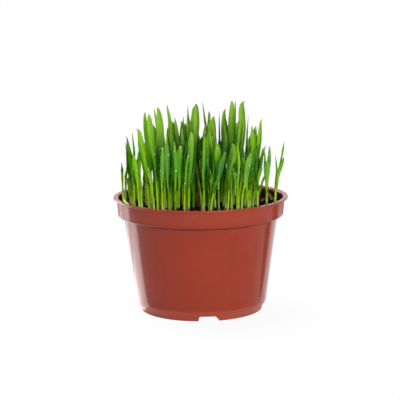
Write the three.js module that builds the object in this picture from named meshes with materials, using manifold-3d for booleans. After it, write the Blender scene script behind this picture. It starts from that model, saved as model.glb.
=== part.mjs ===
// Potted oat grass: a round plastic nursery pot with a stepped collar, filled with peat, and
// young oat plants that stand in the peat. Millimetres, +Z up. The origin is on the pot's axis,
// in the plane that its foot ring stands on, and -Y is the front.
import * as THREE from 'three';
import { mergeVertices } from 'three/addons/utils/BufferGeometryUtils.js';
import Module from 'manifold-3d';

const wasm = await Module();
wasm.setup();

// ---- Driving dimensions ----
const TURN = Math.PI * 2;
const DEGREE = Math.PI / 180;
const GAP = 0.3; // between pieces that touch
const WELD = 1e-3; // vertices closer than this are one

const POT_HEIGHT = 78.5;
const RIM_RADIUS = 60; // the lip's outer edge
const LIP_THICKNESS = 1.2;
const WALL = 1.1;
const COLLAR_TOP_RADIUS = 57.7;
const COLLAR_FOOT_RADIUS = 56.8;
const COLLAR_HEIGHT = 12.6; // from the rim's top to the ledge
const BODY_TOP_RADIUS = 52.8;
const BODY_FOOT_RADIUS = 45;
const FOOT_RADIUS = 42;
const FOOT_RING_HEIGHT = 2.6; // above it the outside widens to the body
const FOOT_HEIGHT = 6.6; // where the body begins
const FLOOR_UNDERSIDE = 5.6;
const EDGE_ROUND = 0.6;
const POT_SIDES = 60;

const NOTCH_COUNT = 4;
const NOTCH_HEIGHT = 3.5;
const NOTCH_WIDTH_BELOW = 14.6;
const NOTCH_WIDTH_ABOVE = 11;
const FIRST_NOTCH = -83.4 * DEGREE; // a little right of the front
const HOLE_COUNT = 6;
const HOLE_RADIUS = 4;
const HOLE_RING_RADIUS = 31;

const SOIL_DROP = 3; // from the rim's top to the soil
const SOIL_SIDES = 40;
const SOIL_RINGS = 7;
const SOIL_ROUGHNESS = 0.6; // height of its swells
const BANK_RISE = 1.1; // how much higher the soil stands against the wall
const BANK_FOOT = 48; // radius from which it rises

const SHEATH_RADIUS = 0.85;
const SHEATH_SHARE = 0.32; // of its shortest blade's height
const BLADE_FOOT = 0.8; // of the sheath's height, where its blades begin
const LEAN_BOW = 1.5; // how late a shoot leans out: 1 is straight
const PART_BOW = 1.35; // how late its blades part from each other
const ROLLED_WIDTH = 1.1; // of a blade where it leaves the sheath
const ROOT_OFFSET = 0.35; // of a blade's root from the middle of the sheath
const FOOT_LIFT = 0.55; // keeps the plants clear of the soil's swells
const CROWN_RADIUS = 2.6; // of the grain and root crown that joins a plant's shoots
const CROWN_HEIGHT = 1.1;
const KEEL_DEPTH = 0.65; // the rib on the back of a blade
const WIDEST = 0.6; // share of a blade's height from which it tapers to its point
const CLEARANCE = 1.05; // between the middle surfaces of two plants' blades

const BLADE_SIDES = 3;
const BLADE_STEPS = 4;
const SHEATH_SIDES = 4;
const FIRST_LEVEL = 2; // the heights at which two plants are tested for touching
const LEVEL_STEP = 4;
const LEVEL_COUNT = 19;

const PLANT_COUNT = 51;
const SOWN_RADIUS = 51;
const SEED_SPACING = 7.5;
const SEED_JITTER = 1.5;
const SPIRAL_SPOTS = 48;
const GOLDEN_ANGLE = 137.508 * DEGREE;
const THIN_SIDE = 40; // few grains came up beyond this, on the right
const HOLLOW = [-2, -33]; // none came up here, in front of the withered leaf
const HOLLOW_RADIUS = 8;
const SHOOT_SPACING = 1.7; // of a plant's shoots from its grain
const SPREAD = 7; // how far a blade's tip strays from above its root
const OUTWARD = 0.09; // how much the grass leans out, as a share of the distance from the middle
const SISTER_LEVEL = 6; // below this level the shoots of one plant may lie together
const TRIES = 16; // ways to grow a shoot before it is left out
const CANOPY_HEIGHT = 60; // of the grass above the soil, over the pot's middle
const CANOPY_RISE = 0.1; // per mm towards the back
const FALLEN_BOW = 0.1; // the first shown plant leans out low and then stands up

const COLOURS = {
  plastic: '#a5483a', peat: '#2b1d12', blade: '#5c9a2c', bark: '#9a7050', clod: '#3a271a', husk: '#c9b98a',
};

const soilTop = POT_HEIGHT - SOIL_DROP;
const ledgeHeight = POT_HEIGHT - COLLAR_HEIGHT;
const floorTop = FLOOR_UNDERSIDE + WALL;

// ---- Helpers ----
// Park and Miller's generator, so that every build grows the same grass.
let seed = 4127;
function chance() {
  seed = (seed * 16807) % 2147483647;
  return seed / 2147483647;
}

const between = (low, high) => low + (high - low) * chance();
const mix = (a, b, share) => a + (b - a) * share;
const clamp = (value) => Math.min(1, Math.max(0, value));
const ease = (value) => clamp(value) ** 2 * (3 - 2 * clamp(value));

function toSolid(geometry) {
  const bare = geometry.clone();
  bare.deleteAttribute('normal');
  bare.deleteAttribute('uv');
  const welded = mergeVertices(bare, WELD);
  const corners = welded.index.array;
  const kept = [];
  for (let i = 0; i < corners.length; i += 3) {
    const [a, b, c] = [corners[i], corners[i + 1], corners[i + 2]];
    if (a !== b && b !== c && c !== a) kept.push(a, b, c);
  }
  const vertProperties = new Float32Array(welded.attributes.position.array);
  return new wasm.Manifold(new wasm.Mesh({ numProp: 3, vertProperties, triVerts: new Uint32Array(kept) }));
}

function toGeometry(solid) {
  const { vertProperties, triVerts } = solid.getMesh();
  const geometry = new THREE.BufferGeometry();
  geometry.setAttribute('position', new THREE.BufferAttribute(vertProperties, 3));
  geometry.setIndex(new THREE.BufferAttribute(triVerts, 1));
  geometry.computeVertexNormals();
  return geometry;
}

// The outside of a solid, without the small hollows that lie between joined blades.
function outerShell(solid) {
  return solid.decompose().reduce((best, shell) => (shell.volume() > best.volume() ? shell : best));
}

function piece(name, geometry, color, roughness) {
  const mesh = new THREE.Mesh(geometry, new THREE.MeshStandardMaterial({ color, roughness, metalness: 0 }));
  mesh.name = name;
  return mesh;
}

// Turns a profile of [radius, height] pairs about the Z axis.
function turned(profile, sides) {
  const points = profile.map(([radius, height]) => new THREE.Vector2(radius, height));
  return new THREE.LatheGeometry(points, sides).rotateX(Math.PI / 2);
}

// Moves every vertex of a unit tube along Y to where place(share of length, angle, share of radius)
// puts it. The radius runs from 1 at the foot to `top` at the head.
function warpTube(sides, steps, top, place) {
  const geometry = new THREE.CylinderGeometry(top, 1, 1, sides, steps);
  const { position } = geometry.attributes;
  for (let i = 0; i < position.count; i += 1) {
    const along = position.getY(i) + 0.5;
    const [x, z] = [position.getX(i), position.getZ(i)];
    const radius = mix(1, top, along);
    const point = place(along, Math.atan2(x, z), radius > 0 ? Math.hypot(x, z) / radius : 0);
    position.setXYZ(i, point.x, point.y, point.z);
  }
  return geometry;
}

// ---- The pot ----
function potProfile() {
  const lipUnder = POT_HEIGHT - LIP_THICKNESS;
  const innerCollarTop = COLLAR_TOP_RADIUS - WALL;
  const innerCollarFoot = COLLAR_FOOT_RADIUS - WALL;
  return [
    [0, FLOOR_UNDERSIDE],
    [FOOT_RADIUS - WALL - EDGE_ROUND, FLOOR_UNDERSIDE],
    [FOOT_RADIUS - WALL, FLOOR_UNDERSIDE - EDGE_ROUND],
    [FOOT_RADIUS - WALL - 0.2, 0],
    [FOOT_RADIUS - 0.2, 0],
    [FOOT_RADIUS, EDGE_ROUND],
    [FOOT_RADIUS + 0.5, FOOT_RING_HEIGHT],
    [BODY_FOOT_RADIUS - 0.9, mix(FOOT_RING_HEIGHT, FOOT_HEIGHT, 0.55)],
    [BODY_FOOT_RADIUS, FOOT_HEIGHT],
    [BODY_TOP_RADIUS, ledgeHeight - 0.5],
    [BODY_TOP_RADIUS + 0.5, ledgeHeight],
    [COLLAR_FOOT_RADIUS - 0.3, ledgeHeight],
    [COLLAR_FOOT_RADIUS, ledgeHeight + 0.3],
    [COLLAR_TOP_RADIUS, lipUnder],
    [RIM_RADIUS - EDGE_ROUND, lipUnder],
    [RIM_RADIUS, lipUnder + EDGE_ROUND],
    [RIM_RADIUS - EDGE_ROUND, POT_HEIGHT],
    [innerCollarTop + EDGE_ROUND, POT_HEIGHT],
    [innerCollarTop, POT_HEIGHT - EDGE_ROUND],
    [innerCollarFoot, ledgeHeight + WALL + EDGE_ROUND],
    [innerCollarFoot - EDGE_ROUND, ledgeHeight + WALL],
    [BODY_TOP_RADIUS - WALL, ledgeHeight + WALL - 0.3],
    [BODY_TOP_RADIUS - WALL - 0.4, ledgeHeight - 1],
    [BODY_FOOT_RADIUS - WALL, FOOT_HEIGHT + 1.4],
    [BODY_FOOT_RADIUS - WALL - 1.6, floorTop],
    [0, floorTop],
  ];
}

// A drain notch, narrower above than below, seen along the radius.
function notchCutter(angle) {
  const depth = 12;
  const outline = new THREE.Shape([
    new THREE.Vector2(-NOTCH_WIDTH_BELOW / 2, -1),
    new THREE.Vector2(NOTCH_WIDTH_BELOW / 2 + 0.6, -1),
    new THREE.Vector2(NOTCH_WIDTH_BELOW / 2, 0),
    new THREE.Vector2(NOTCH_WIDTH_ABOVE / 2 - 0.6, NOTCH_HEIGHT - 0.5),
    new THREE.Vector2(NOTCH_WIDTH_ABOVE / 2 - 1.4, NOTCH_HEIGHT),
    new THREE.Vector2(-NOTCH_WIDTH_BELOW / 2 + 1.6, NOTCH_HEIGHT),
    new THREE.Vector2(-NOTCH_WIDTH_BELOW / 2 + 0.8, NOTCH_HEIGHT - 0.5),
  ]);
  const cutter = new THREE.ExtrudeGeometry(outline, { depth, bevelEnabled: false });
  return cutter.rotateX(Math.PI / 2)
    .translate(0, -FOOT_RADIUS + depth / 2, 0)
    .rotateZ(angle + Math.PI / 2);
}

function drainHole(angle) {
  return new THREE.CylinderGeometry(HOLE_RADIUS, HOLE_RADIUS, 3 * WALL, 12)
    .rotateX(Math.PI / 2)
    .translate(HOLE_RING_RADIUS * Math.cos(angle), HOLE_RING_RADIUS * Math.sin(angle), FLOOR_UNDERSIDE);
}

function makePot() {
  let solid = toSolid(turned(potProfile(), POT_SIDES));
  for (let i = 0; i < NOTCH_COUNT; i += 1) {
    solid = solid.subtract(toSolid(notchCutter(FIRST_NOTCH + (i * TURN) / NOTCH_COUNT)));
  }
  for (let i = 0; i < HOLE_COUNT; i += 1) {
    solid = solid.subtract(toSolid(drainHole(FIRST_NOTCH + ((i + 0.5) * TURN) / HOLE_COUNT)));
  }
  return piece('pot', toGeometry(solid), COLOURS.plastic, 0.3);
}

// ---- The soil ----
// How far the crumbly top lies above or below its mean level.
function soilHeight(x, y) {
  const swell = Math.sin(x * 0.21 + 1.3) * Math.cos(y * 0.19 - 0.4);
  const crumbs = Math.sin(x * 0.33 - y * 0.27) * Math.cos(y * 0.31 + x * 0.11);
  const radius = Math.hypot(x, y);
  const calm = 1 - ease((radius - 44) / 10);
  const bank = ease((radius - BANK_FOOT) / (COLLAR_TOP_RADIUS - WALL - BANK_FOOT));
  return soilTop + SOIL_ROUGHNESS * calm * (0.6 * swell + 0.4 * crumbs) + BANK_RISE * bank;
}

function makeSoil() {
  const top = COLLAR_TOP_RADIUS - WALL - GAP - 0.35;
  const profile = [
    [0, floorTop + GAP],
    [BODY_FOOT_RADIUS - WALL - 2.1, floorTop + GAP],
    [BODY_FOOT_RADIUS - WALL - GAP, FOOT_HEIGHT + 2],
    [BODY_TOP_RADIUS - WALL - 0.8, ledgeHeight - 1],
    [BODY_TOP_RADIUS - WALL - 0.4, ledgeHeight + WALL + GAP],
    [COLLAR_FOOT_RADIUS - WALL - 1.2, ledgeHeight + WALL + GAP],
    [COLLAR_FOOT_RADIUS - WALL - 0.4, ledgeHeight + WALL + 1],
    [top, soilTop],
  ];
  for (let ring = SOIL_RINGS - 1; ring >= 0; ring -= 1) profile.push([(top * ring) / SOIL_RINGS, soilTop]);
  const geometry = turned(profile, SOIL_SIDES);
  const { position } = geometry.attributes;
  for (let i = 0; i < position.count; i += 1) {
    const onTop = position.getZ(i) > soilTop - WELD;
    if (onTop) position.setZ(i, soilHeight(position.getX(i), position.getY(i)));
  }
  return piece('soil', toGeometry(toSolid(geometry)), COLOURS.peat, 1);
}

// ---- The oat plants ----
// A shoot stands in its sheath, which leans towards the middle of its tips, and its blades part
// from each other above the sheath. Heights are above the foot of the shoot.
function makeShoot(root, blades, bow) {
  const middle = (pick) => blades.reduce((sum, blade) => sum + pick(blade), 0) / blades.length;
  const aim = [middle((blade) => blade.tip[0]), middle((blade) => blade.tip[1])];
  const height = middle((blade) => blade.height);
  const split = SHEATH_SHARE * Math.min(...blades.map((blade) => blade.height));
  return { root, blades, bow, aim, height, split };
}

function sheathAxis(shoot, height) {
  const lean = (height / shoot.height) ** shoot.bow;
  return [mix(shoot.root[0], shoot.aim[0], lean), mix(shoot.root[1], shoot.aim[1], lean)];
}

// A blade's middle line, from a little below the top of the sheath to the tip.
function bladeCentre(shoot, blade, rise) {
  const foot = BLADE_FOOT * shoot.split;
  const height = mix(foot, blade.height, rise);
  const [axisX, axisY] = sheathAxis(shoot, height);
  const [endX, endY] = sheathAxis(shoot, blade.height);
  const [awayX, awayY] = [blade.tip[0] - endX, blade.tip[1] - endY];
  const away = Math.hypot(awayX, awayY) || 1;
  const share = rise ** PART_BOW + (ROOT_OFFSET / away) * (1 - rise);
  return [axisX + awayX * share, axisY + awayY * share, height];
}

// Narrow where it leaves its sheath, widest past its middle, and pointed.
function bladeWidth(blade, rise) {
  const swell = mix(ROLLED_WIDTH, blade.width, ease(rise / 0.5));
  const taper = Math.sqrt(1 - clamp((rise - WIDEST) / (1 - WIDEST)) ** 2);
  return swell * taper;
}

const bladeTurn = (blade, rise) => (blade.turn + blade.twist * rise) * DEGREE;

const footHeight = (shoot) => soilHeight(shoot.root[0], shoot.root[1]) + FOOT_LIFT;

function bladeGeometry(shoot, blade) {
  return warpTube(BLADE_SIDES, BLADE_STEPS, 0, (along, angle, radius) => {
    const rise = 1 - (1 - along) ** 1.4;
    const turn = bladeTurn(blade, rise);
    const across = (-Math.sin(angle) / Math.sin(TURN / BLADE_SIDES)) * radius * 0.5 * bladeWidth(blade, rise);
    const keel = mix(0.35, KEEL_DEPTH, ease(rise / 0.3)) * (1 - 0.5 * rise);
    const back = ((Math.cos(angle) * radius * 2 + 1) / 3) * keel;
    const [x, y, height] = bladeCentre(shoot, blade, rise);
    return new THREE.Vector3(
      x + across * Math.cos(turn) - back * Math.sin(turn),
      y + across * Math.sin(turn) + back * Math.cos(turn),
      footHeight(shoot) + height,
    );
  });
}

function sheathGeometry(shoot) {
  return warpTube(SHEATH_SIDES, 1, 1, (along, angle, radius) => {
    const height = along * shoot.split;
    const [x, y] = sheathAxis(shoot, height);
    const reach = radius * SHEATH_RADIUS;
    return new THREE.Vector3(
      x + reach * Math.cos(angle),
      y + reach * Math.sin(angle),
      footHeight(shoot) + height,
    );
  });
}

function crownGeometry([x, y]) {
  return new THREE.OctahedronGeometry(1)
    .scale(CROWN_RADIUS, CROWN_RADIUS, CROWN_HEIGHT)
    .translate(x, y, soilHeight(x, y) + FOOT_LIFT + CROWN_HEIGHT * 0.9);
}

// A blade as horizontal cuts, one at each level: its middle and half its width as a vector.
const LEVELS = Array.from({ length: LEVEL_COUNT }, (_, i) => FIRST_LEVEL + LEVEL_STEP * i);
function cutsOf(shoot, blade) {
  const foot = BLADE_FOOT * shoot.split;
  return LEVELS.filter((level) => level < blade.height).map((level) => {
    if (level < shoot.split) return [...sheathAxis(shoot, level), SHEATH_RADIUS, 0];
    const rise = (level - foot) / (blade.height - foot);
    const [x, y] = bladeCentre(shoot, blade, rise);
    const half = 0.5 * bladeWidth(blade, rise);
    const turn = bladeTurn(blade, rise);
    return [x, y, half * Math.cos(turn), half * Math.sin(turn)];
  });
}

function pointToCut(x, y, [cx, cy, hx, hy]) {
  const [dx, dy] = [x - cx, y - cy];
  const length = hx * hx + hy * hy;
  const share = length > 0 ? Math.max(-1, Math.min(1, (dx * hx + dy * hy) / length)) : 0;
  return Math.hypot(dx - share * hx, dy - share * hy);
}

function cutsTouch(a, b) {
  const reach = Math.hypot(a[2], a[3]) + Math.hypot(b[2], b[3]) + CLEARANCE;
  if (Math.hypot(a[0] - b[0], a[1] - b[1]) > reach) return false;
  const cross = a[2] * b[3] - a[3] * b[2];
  const [dx, dy] = [b[0] - a[0], b[1] - a[1]];
  if (cross !== 0) {
    const onA = (dx * b[3] - dy * b[2]) / cross;
    const onB = (dx * a[3] - dy * a[2]) / cross;
    if (Math.abs(onA) <= 1 && Math.abs(onB) <= 1) return true;
  }
  return Math.min(
    pointToCut(a[0] + a[2], a[1] + a[3], b),
    pointToCut(a[0] - a[2], a[1] - a[3], b),
    pointToCut(b[0] + b[2], b[1] + b[3], a),
    pointToCut(b[0] - b[2], b[1] - b[3], a),
  ) < CLEARANCE;
}

// ---- Where the plants stand ----
// The plants that show at the front and along the skyline. A plant is a list of shoots. A shoot is
// its root [x, y], then its blades: tip x, tip y, height above the soil, width and turn, the
// angle in degrees between the blade's width and the X axis.
const SHOWN_PLANTS = [
  [[[-48.6, -23], [-53.8, -4, 26, 1.8, 20]]],
  [
    [[-47.3, -15], [-51.5, -13, 18, 1.8, 60]],
    [[-46.5, -12], [-50.6, -11, 41.6, 2.4, 30], [-49.5, -8, 45.5, 2.8, 10]],
  ],
  [[[-41, -33], [-44.4, -33, 35.4, 3.6, 10]], [[-39.5, -31], [-41.5, -27, 38, 3, 60]]],
  [[[-34.5, -34], [-41, -30, 53.4, 4, 15]], [[-33, -32], [-37, -24, 63.6, 3.4, 5]]],
  [[[-36, -20], [-36.6, -18, 51.8, 2.8, 40], [-42, -15, 45, 3, 10]]],
  [[[-28.5, -40], [-33.8, -33, 63.2, 4.2, 0]], [[-31, -39.5], [-35, -40, 29.4, 2.6, 30]]],
  [[[-25.5, -42], [-25, -42, 41.7, 3.2, 10]], [[-24, -40], [-22, -36, 51, 3, 40]]],
  [[[-21, -45], [-22, -42, 47.4, 3.2, 5]], [[-19.8, -43.5], [-19, -39, 35, 2.4, 60]]],
  [[[-16.5, -46], [-17, -42, 46.7, 3, 20]], [[-14.5, -44.5], [-13, -41, 43.3, 3.8, -5]]],
  [[[-11, -48], [-7.5, -46.5, 39, 3, 10]], [[-8, -47], [-5.5, -40, 52, 4.2, 0]]],
  [[[2, -47], [3.5, -41, 50, 3.4, -10]]],
  [
    [[6.7, -47], [16.8, -44, 39.6, 4, 20]],
    [[5.8, -45], [6.4, -44, 28.7, 1.8, 30], [9.5, -38, 41.6, 2.4, 60]],
  ],
  [[[12, -43], [11.5, -40, 44.4, 4, 5]]],
  [[[18, -45], [22.3, -39, 44.1, 4.2, -5]], [[20.5, -44], [19.5, -40, 34, 2.6, 70]]],
  [[[27, -43], [33.6, -38, 37.3, 4.4, 10]], [[25, -41.5], [24.5, -36, 45, 3, 20], [28, -37, 29, 2.4, 60]]],
  [[[35, -31], [42, -27, 29, 2.4, 40]], [[33, -32.5], [33, -31, 12, 1.6, 0]]],
  [[[44.3, -28], [42.6, -25, 39.2, 2.4, 30], [46.6, -26, 40.4, 2.8, 0], [44.5, -29.5, 30, 4.2, 5]]],
  [[[50.5, -16.5], [50.8, -14, 32.2, 1.6, 30], [57.2, -11, 41, 1.8, 40], [56.8, -15, 30.4, 3, 10]]],
  [[[-24, -20], [-31, -14, 64.8, 3, 10]], [[-22, -17.5], [-28.3, -9, 65, 4, 0]]],
  [[[-15, -4], [-22.7, 3, 65.4, 3.4, 15]], [[-13, -2], [-17.2, 6, 56.7, 3, 20]]],
  [[[-10, 10], [-11.7, 14, 56.3, 1.8, 30]]],
  [[[-12, -20], [-12.2, -14, 52, 3, 20], [-9, -16, 43, 3, 40]]],
  [[[-8, -8], [-8.3, -4, 66.3, 2.2, 40]], [[-5.5, -7], [-4.4, 2, 64.6, 3.4, 0]]],
  [[[-4.5, -18], [-2, -9, 67.3, 4.2, -10]], [[1, -14], [3.5, -10, 54, 3, 30]]],
  [[[7, 8], [2, 12, 66, 1.8, 30]], [[9, 6.5], [9.1, 1, 57.4, 4.2, 0]]],
  [[[6, -26], [7, -20, 64, 1.8, 40], [9, -23, 49, 3, 10]]],
  [[[13, 4], [13.2, 8, 58.8, 1.6, 30]], [[15, 2.5], [16.8, 4, 62, 3.6, 10]]],
  [[[20, -4], [22.2, 0, 67.8, 4.8, 0]], [[22, -2.5], [24.5, 8, 68.3, 1.6, 15]]],
  [[[27, -10], [28.8, -6, 68.8, 4.8, 0]], [[29, -8.5], [33.3, 3, 58.4, 1.8, 30]]],
  [[[34, -14], [35.2, -9, 52, 3.4, 15], [40, -14, 41, 3, 0]]],
  [[[38, -2], [41.6, 0, 55.4, 3.2, 0], [38.2, 3, 50.2, 3, 20]]],
  [[[-44.5, -27.5], [-45.3, -27, 50, 1.8, 20]]],
  [[[2.6, 10], [6, 5, 60.5, 2.2, 30]]],
];

// Where the grass parts, seen from the front and a little above: the x, half the width, and the
// height that leaves reach there. The line of sight sinks by SIGHT_SLOPE per mm towards the back.
const PARTINGS = [
  [-53.4, 0.9, 6], [-43, 0.8, 34], [-40.4, 1, 16], [-37.3, 1, 47], [-31.3, 0.7, 53], [-22.9, 0.5, 49],
  [-15, 0.9, 47], [0.9, 1.2, 45], [13, 1.2, 44], [23.4, 0.5, 57], [32, 0.8, 44], [37, 0.7, 48], [42.5, 1.1, 36],
];
const SIGHT_DISTANCE = 1140;
const SIGHT_SLOPE = 0.18;
const SIGHT_LEVEL_AT = -6; // the y for which the heights above are given

function makeBlade(tipX, tipY, height, width, turn) {
  return { tip: [tipX, tipY], height, width, turn, twist: between(-30, 30) };
}

function shownPlant(shoots, index) {
  const bow = index === 0 ? FALLEN_BOW : LEAN_BOW;
  return shoots.map(([root, ...rows]) => makeShoot(root, rows.map((row) => makeBlade(...row)), bow));
}

// A withered first leaf, brown and dry, still stands among the green ones.
const witheredShoot = makeShoot([-1.6, -24], [makeBlade(-0.6, -22, 31, 2.6, 10)], LEAN_BOW);

// Whether a blade's cuts stand in a parting of the grass.
function fillsParting(cuts) {
  return cuts.some(([x, y, halfX], level) => {
    const seenAt = x * (1 - y / SIGHT_DISTANCE);
    const seenHeight = LEVELS[level] + SIGHT_SLOPE * (y - SIGHT_LEVEL_AT);
    return PARTINGS.some(([middle, half, height]) => (
      seenHeight > height && Math.abs(seenAt - middle) < half + Math.abs(halfX)
    ));
  });
}

// How tall the grass stands at a place: level in the middle, lower at both sides, and a little
// lower towards the front, where the light comes in.
function canopy(x, y) {
  const sides = 1 - 0.4 * ease((Math.abs(x) - 20) / 32);
  const front = 1 - 0.18 * ease((-y - 22) / 24);
  return (CANOPY_HEIGHT - CANOPY_RISE * y) * sides * front;
}

// Tries a few ways to grow a shoot, and keeps the first that stands clear of all the others.
function growShoot(root, taken, own) {
  for (let attempt = 0; attempt < TRIES; attempt += 1) {
    const count = chance() < 0.7 && attempt < TRIES / 2 ? 2 : 1;
    const blades = [];
    for (let i = 0; i < count; i += 1) {
      const direction = between(0, TURN);
      const reach = SPREAD * Math.sqrt(chance());
      const tipX = root[0] * (1 + OUTWARD) + reach * Math.cos(direction);
      const tipY = root[1] * (1 + OUTWARD) + reach * Math.sin(direction);
      const height = canopy(root[0], root[1]) * (i === 0 ? between(0.84, 1) : between(0.55, 0.85));
      blades.push(makeBlade(tipX, tipY, height, between(2.6, 4.4), between(-50, 50)));
    }
    const shoot = makeShoot(root, blades, LEAN_BOW);
    const cuts = blades.map((blade) => cutsOf(shoot, blade));
    const inside = blades.every(({ tip }) => Math.hypot(...tip) < RIM_RADIUS - 3);
    const clear = (others, from) => cuts.every((rows) => rows.every(
      (cut, level) => level < from || others.every((other) => !other[level] || !cutsTouch(cut, other[level])),
    ));
    const fits = inside && !cuts.some(fillsParting);
    if (fits && clear(taken, 0) && clear(own, SISTER_LEVEL)) return { shoot, cuts };
  }
  return null;
}

function seededPlant(spot, taken) {
  const shoots = [];
  const own = [];
  const heading = between(0, TURN);
  const count = chance() < 0.6 ? 3 : 2;
  for (let i = 0; i < count; i += 1) {
    const angle = heading + (i * TURN) / count;
    const root = [spot[0] + SHOOT_SPACING * Math.cos(angle), spot[1] + SHOOT_SPACING * Math.sin(angle)];
    const found = growShoot(root, taken, own);
    if (found) {
      shoots.push(found.shoot);
      own.push(...found.cuts);
    }
  }
  return { shoots, own };
}

function sowPlants() {
  const plants = SHOWN_PLANTS.map(shownPlant);
  const standing = [...plants.flat(), witheredShoot];
  const taken = standing.flatMap((shoot) => shoot.blades.map((blade) => cutsOf(shoot, blade)));
  for (let i = 0; i < SPIRAL_SPOTS && plants.length < PLANT_COUNT; i += 1) {
    const radius = SOWN_RADIUS * Math.sqrt((i + 0.5) / SPIRAL_SPOTS);
    const angle = i * GOLDEN_ANGLE;
    const x = radius * Math.cos(angle) + between(-SEED_JITTER, SEED_JITTER);
    const y = radius * Math.sin(angle) + between(-SEED_JITTER, SEED_JITTER);
    const crowded = plants.flat().some(({ root }) => Math.hypot(root[0] - x, root[1] - y) < SEED_SPACING);
    const bare = x > THIN_SIDE || Math.hypot(x - HOLLOW[0], y - HOLLOW[1]) < HOLLOW_RADIUS;
    if (crowded || bare) continue;
    const { shoots, own } = seededPlant([x, y], taken);
    if (shoots.length > 0) {
      plants.push(shoots);
      taken.push(...own);
    }
  }
  return plants;
}

function makePlant(shoots, index) {
  const middle = [0, 1].map((axis) => shoots.reduce((sum, { root }) => sum + root[axis], 0) / shoots.length);
  let solid = toSolid(crownGeometry(middle));
  for (const shoot of shoots) {
    solid = solid.add(toSolid(sheathGeometry(shoot)));
    for (const blade of shoot.blades) solid = solid.add(toSolid(bladeGeometry(shoot, blade)));
  }
  const name = `oat_plant_${String(index + 1).padStart(2, '0')}`;
  return piece(name, toGeometry(outerShell(solid)), COLOURS.blade, 0.5);
}

function makeWitheredLeaf() {
  const blade = bladeGeometry(witheredShoot, witheredShoot.blades[0]);
  const solid = toSolid(sheathGeometry(witheredShoot)).add(toSolid(blade));
  return piece('withered_leaf', toGeometry(outerShell(solid)), COLOURS.clod, 0.9);
}

// ---- What lies on the soil ----
// Sets a small loose piece down on the soil, turned and tilted.
function laid(name, geometry, [x, y], turn, tilt, color) {
  geometry.rotateX(tilt * DEGREE).rotateZ(turn * DEGREE);
  geometry.computeBoundingBox();
  geometry.translate(x, y, soilHeight(x, y) + FOOT_LIFT - geometry.boundingBox.min.z);
  return piece(name, geometry, color, 0.9);
}

// A lump whose faces stand in and out by a wave, so that corners that meet stay together.
function lump(sizeX, sizeY, sizeZ, phase) {
  const geometry = new THREE.IcosahedronGeometry(1, 1);
  const { position } = geometry.attributes;
  for (let i = 0; i < position.count; i += 1) {
    const [x, y, z] = [position.getX(i), position.getY(i), position.getZ(i)];
    const swell = 1 + 0.14 * Math.sin(5 * x + 4 * y + 3 * z + phase);
    position.setXYZ(i, x * swell * sizeX, y * swell * sizeY, z * swell * sizeZ);
  }
  return geometry;
}

const husk = () => new THREE.SphereGeometry(1, 6, 4).scale(1.1, 3.6, 0.9);
const chip = (length, width, depth) => new THREE.CylinderGeometry(0.5, 0.5, 1, 5).scale(width, length, depth);

function makeLoosePieces() {
  return [
    laid('peat_clod_1', lump(3, 2.4, 1.8, 0), [-5.2, -52], 10, 0, COLOURS.clod),
    laid('peat_clod_2', lump(2.6, 2.2, 1.7, 2), [-13.2, -51.4], 40, 0, COLOURS.clod),
    laid('bark_chip_1', chip(6.5, 3.2, 1.3), [48.2, 0.5], 35, 42, COLOURS.bark),
    laid('bark_chip_2', chip(4.5, 2.2, 1.1), [42.5, -7], -50, 25, COLOURS.bark),
    laid('oat_husk_1', husk(), [31, -22], 25, 55, COLOURS.husk),
    laid('oat_husk_2', husk(), [37.5, -20], -30, 40, COLOURS.husk),
  ];
}

const group = new THREE.Group();
group.add(makePot(), makeSoil(), ...sowPlants().map(makePlant), makeWitheredLeaf(), ...makeLoosePieces());
export default group;
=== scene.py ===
# %% [markdown]
# # A pot of young oat grass
# The object is a round plastic nursery pot, filled with peat, in which oats were sown about ten days
# ago. A CAD model already holds its pieces at their real size, and this script gives them their looks.
# The CAD model is loaded first and is never moved. The scene is in metres, with +Z up, the origin on
# the pot's axis at its foot, and -Y to the front. The pieces themselves are worked out in
# millimetres, as the CAD model is, and MM turns those into metres.

# %% Load the frame
import math

import bmesh
import bpy
import numpy as np
from mathutils import Matrix, Vector


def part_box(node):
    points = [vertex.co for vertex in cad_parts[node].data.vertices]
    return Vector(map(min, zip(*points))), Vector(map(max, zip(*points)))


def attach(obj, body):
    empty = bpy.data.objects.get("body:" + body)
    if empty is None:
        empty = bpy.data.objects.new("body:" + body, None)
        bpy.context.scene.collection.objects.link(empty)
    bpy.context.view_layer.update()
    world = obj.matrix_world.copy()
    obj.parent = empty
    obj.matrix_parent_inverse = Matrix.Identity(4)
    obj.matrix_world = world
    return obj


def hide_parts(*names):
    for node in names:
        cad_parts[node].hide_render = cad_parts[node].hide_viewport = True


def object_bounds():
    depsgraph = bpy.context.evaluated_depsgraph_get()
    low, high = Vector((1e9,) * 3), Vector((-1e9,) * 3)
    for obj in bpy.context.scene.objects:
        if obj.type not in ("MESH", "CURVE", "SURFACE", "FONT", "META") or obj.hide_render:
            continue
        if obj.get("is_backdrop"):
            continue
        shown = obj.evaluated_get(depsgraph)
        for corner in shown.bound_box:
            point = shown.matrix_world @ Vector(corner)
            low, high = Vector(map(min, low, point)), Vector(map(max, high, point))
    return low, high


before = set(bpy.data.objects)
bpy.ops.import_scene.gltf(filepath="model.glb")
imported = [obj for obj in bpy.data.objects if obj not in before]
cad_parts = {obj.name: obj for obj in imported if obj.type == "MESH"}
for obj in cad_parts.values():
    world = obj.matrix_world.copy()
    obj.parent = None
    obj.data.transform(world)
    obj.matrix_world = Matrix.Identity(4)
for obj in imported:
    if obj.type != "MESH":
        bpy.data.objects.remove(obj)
cad_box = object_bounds()

MM = 0.001
TURN = 2 * math.pi
print(len(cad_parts), "CAD nodes in a box of", [round(high - low, 4) for low, high in zip(*cad_box)])

# %% [markdown]
# ## Chance and small sums
# The grass grows by the same rules as the CAD solids do, so it needs the same random numbers in the
# same order. Python's own generator would give others. A multiplication and a remainder are all that
# Park and Miller's generator takes, so it is written out here.

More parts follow.
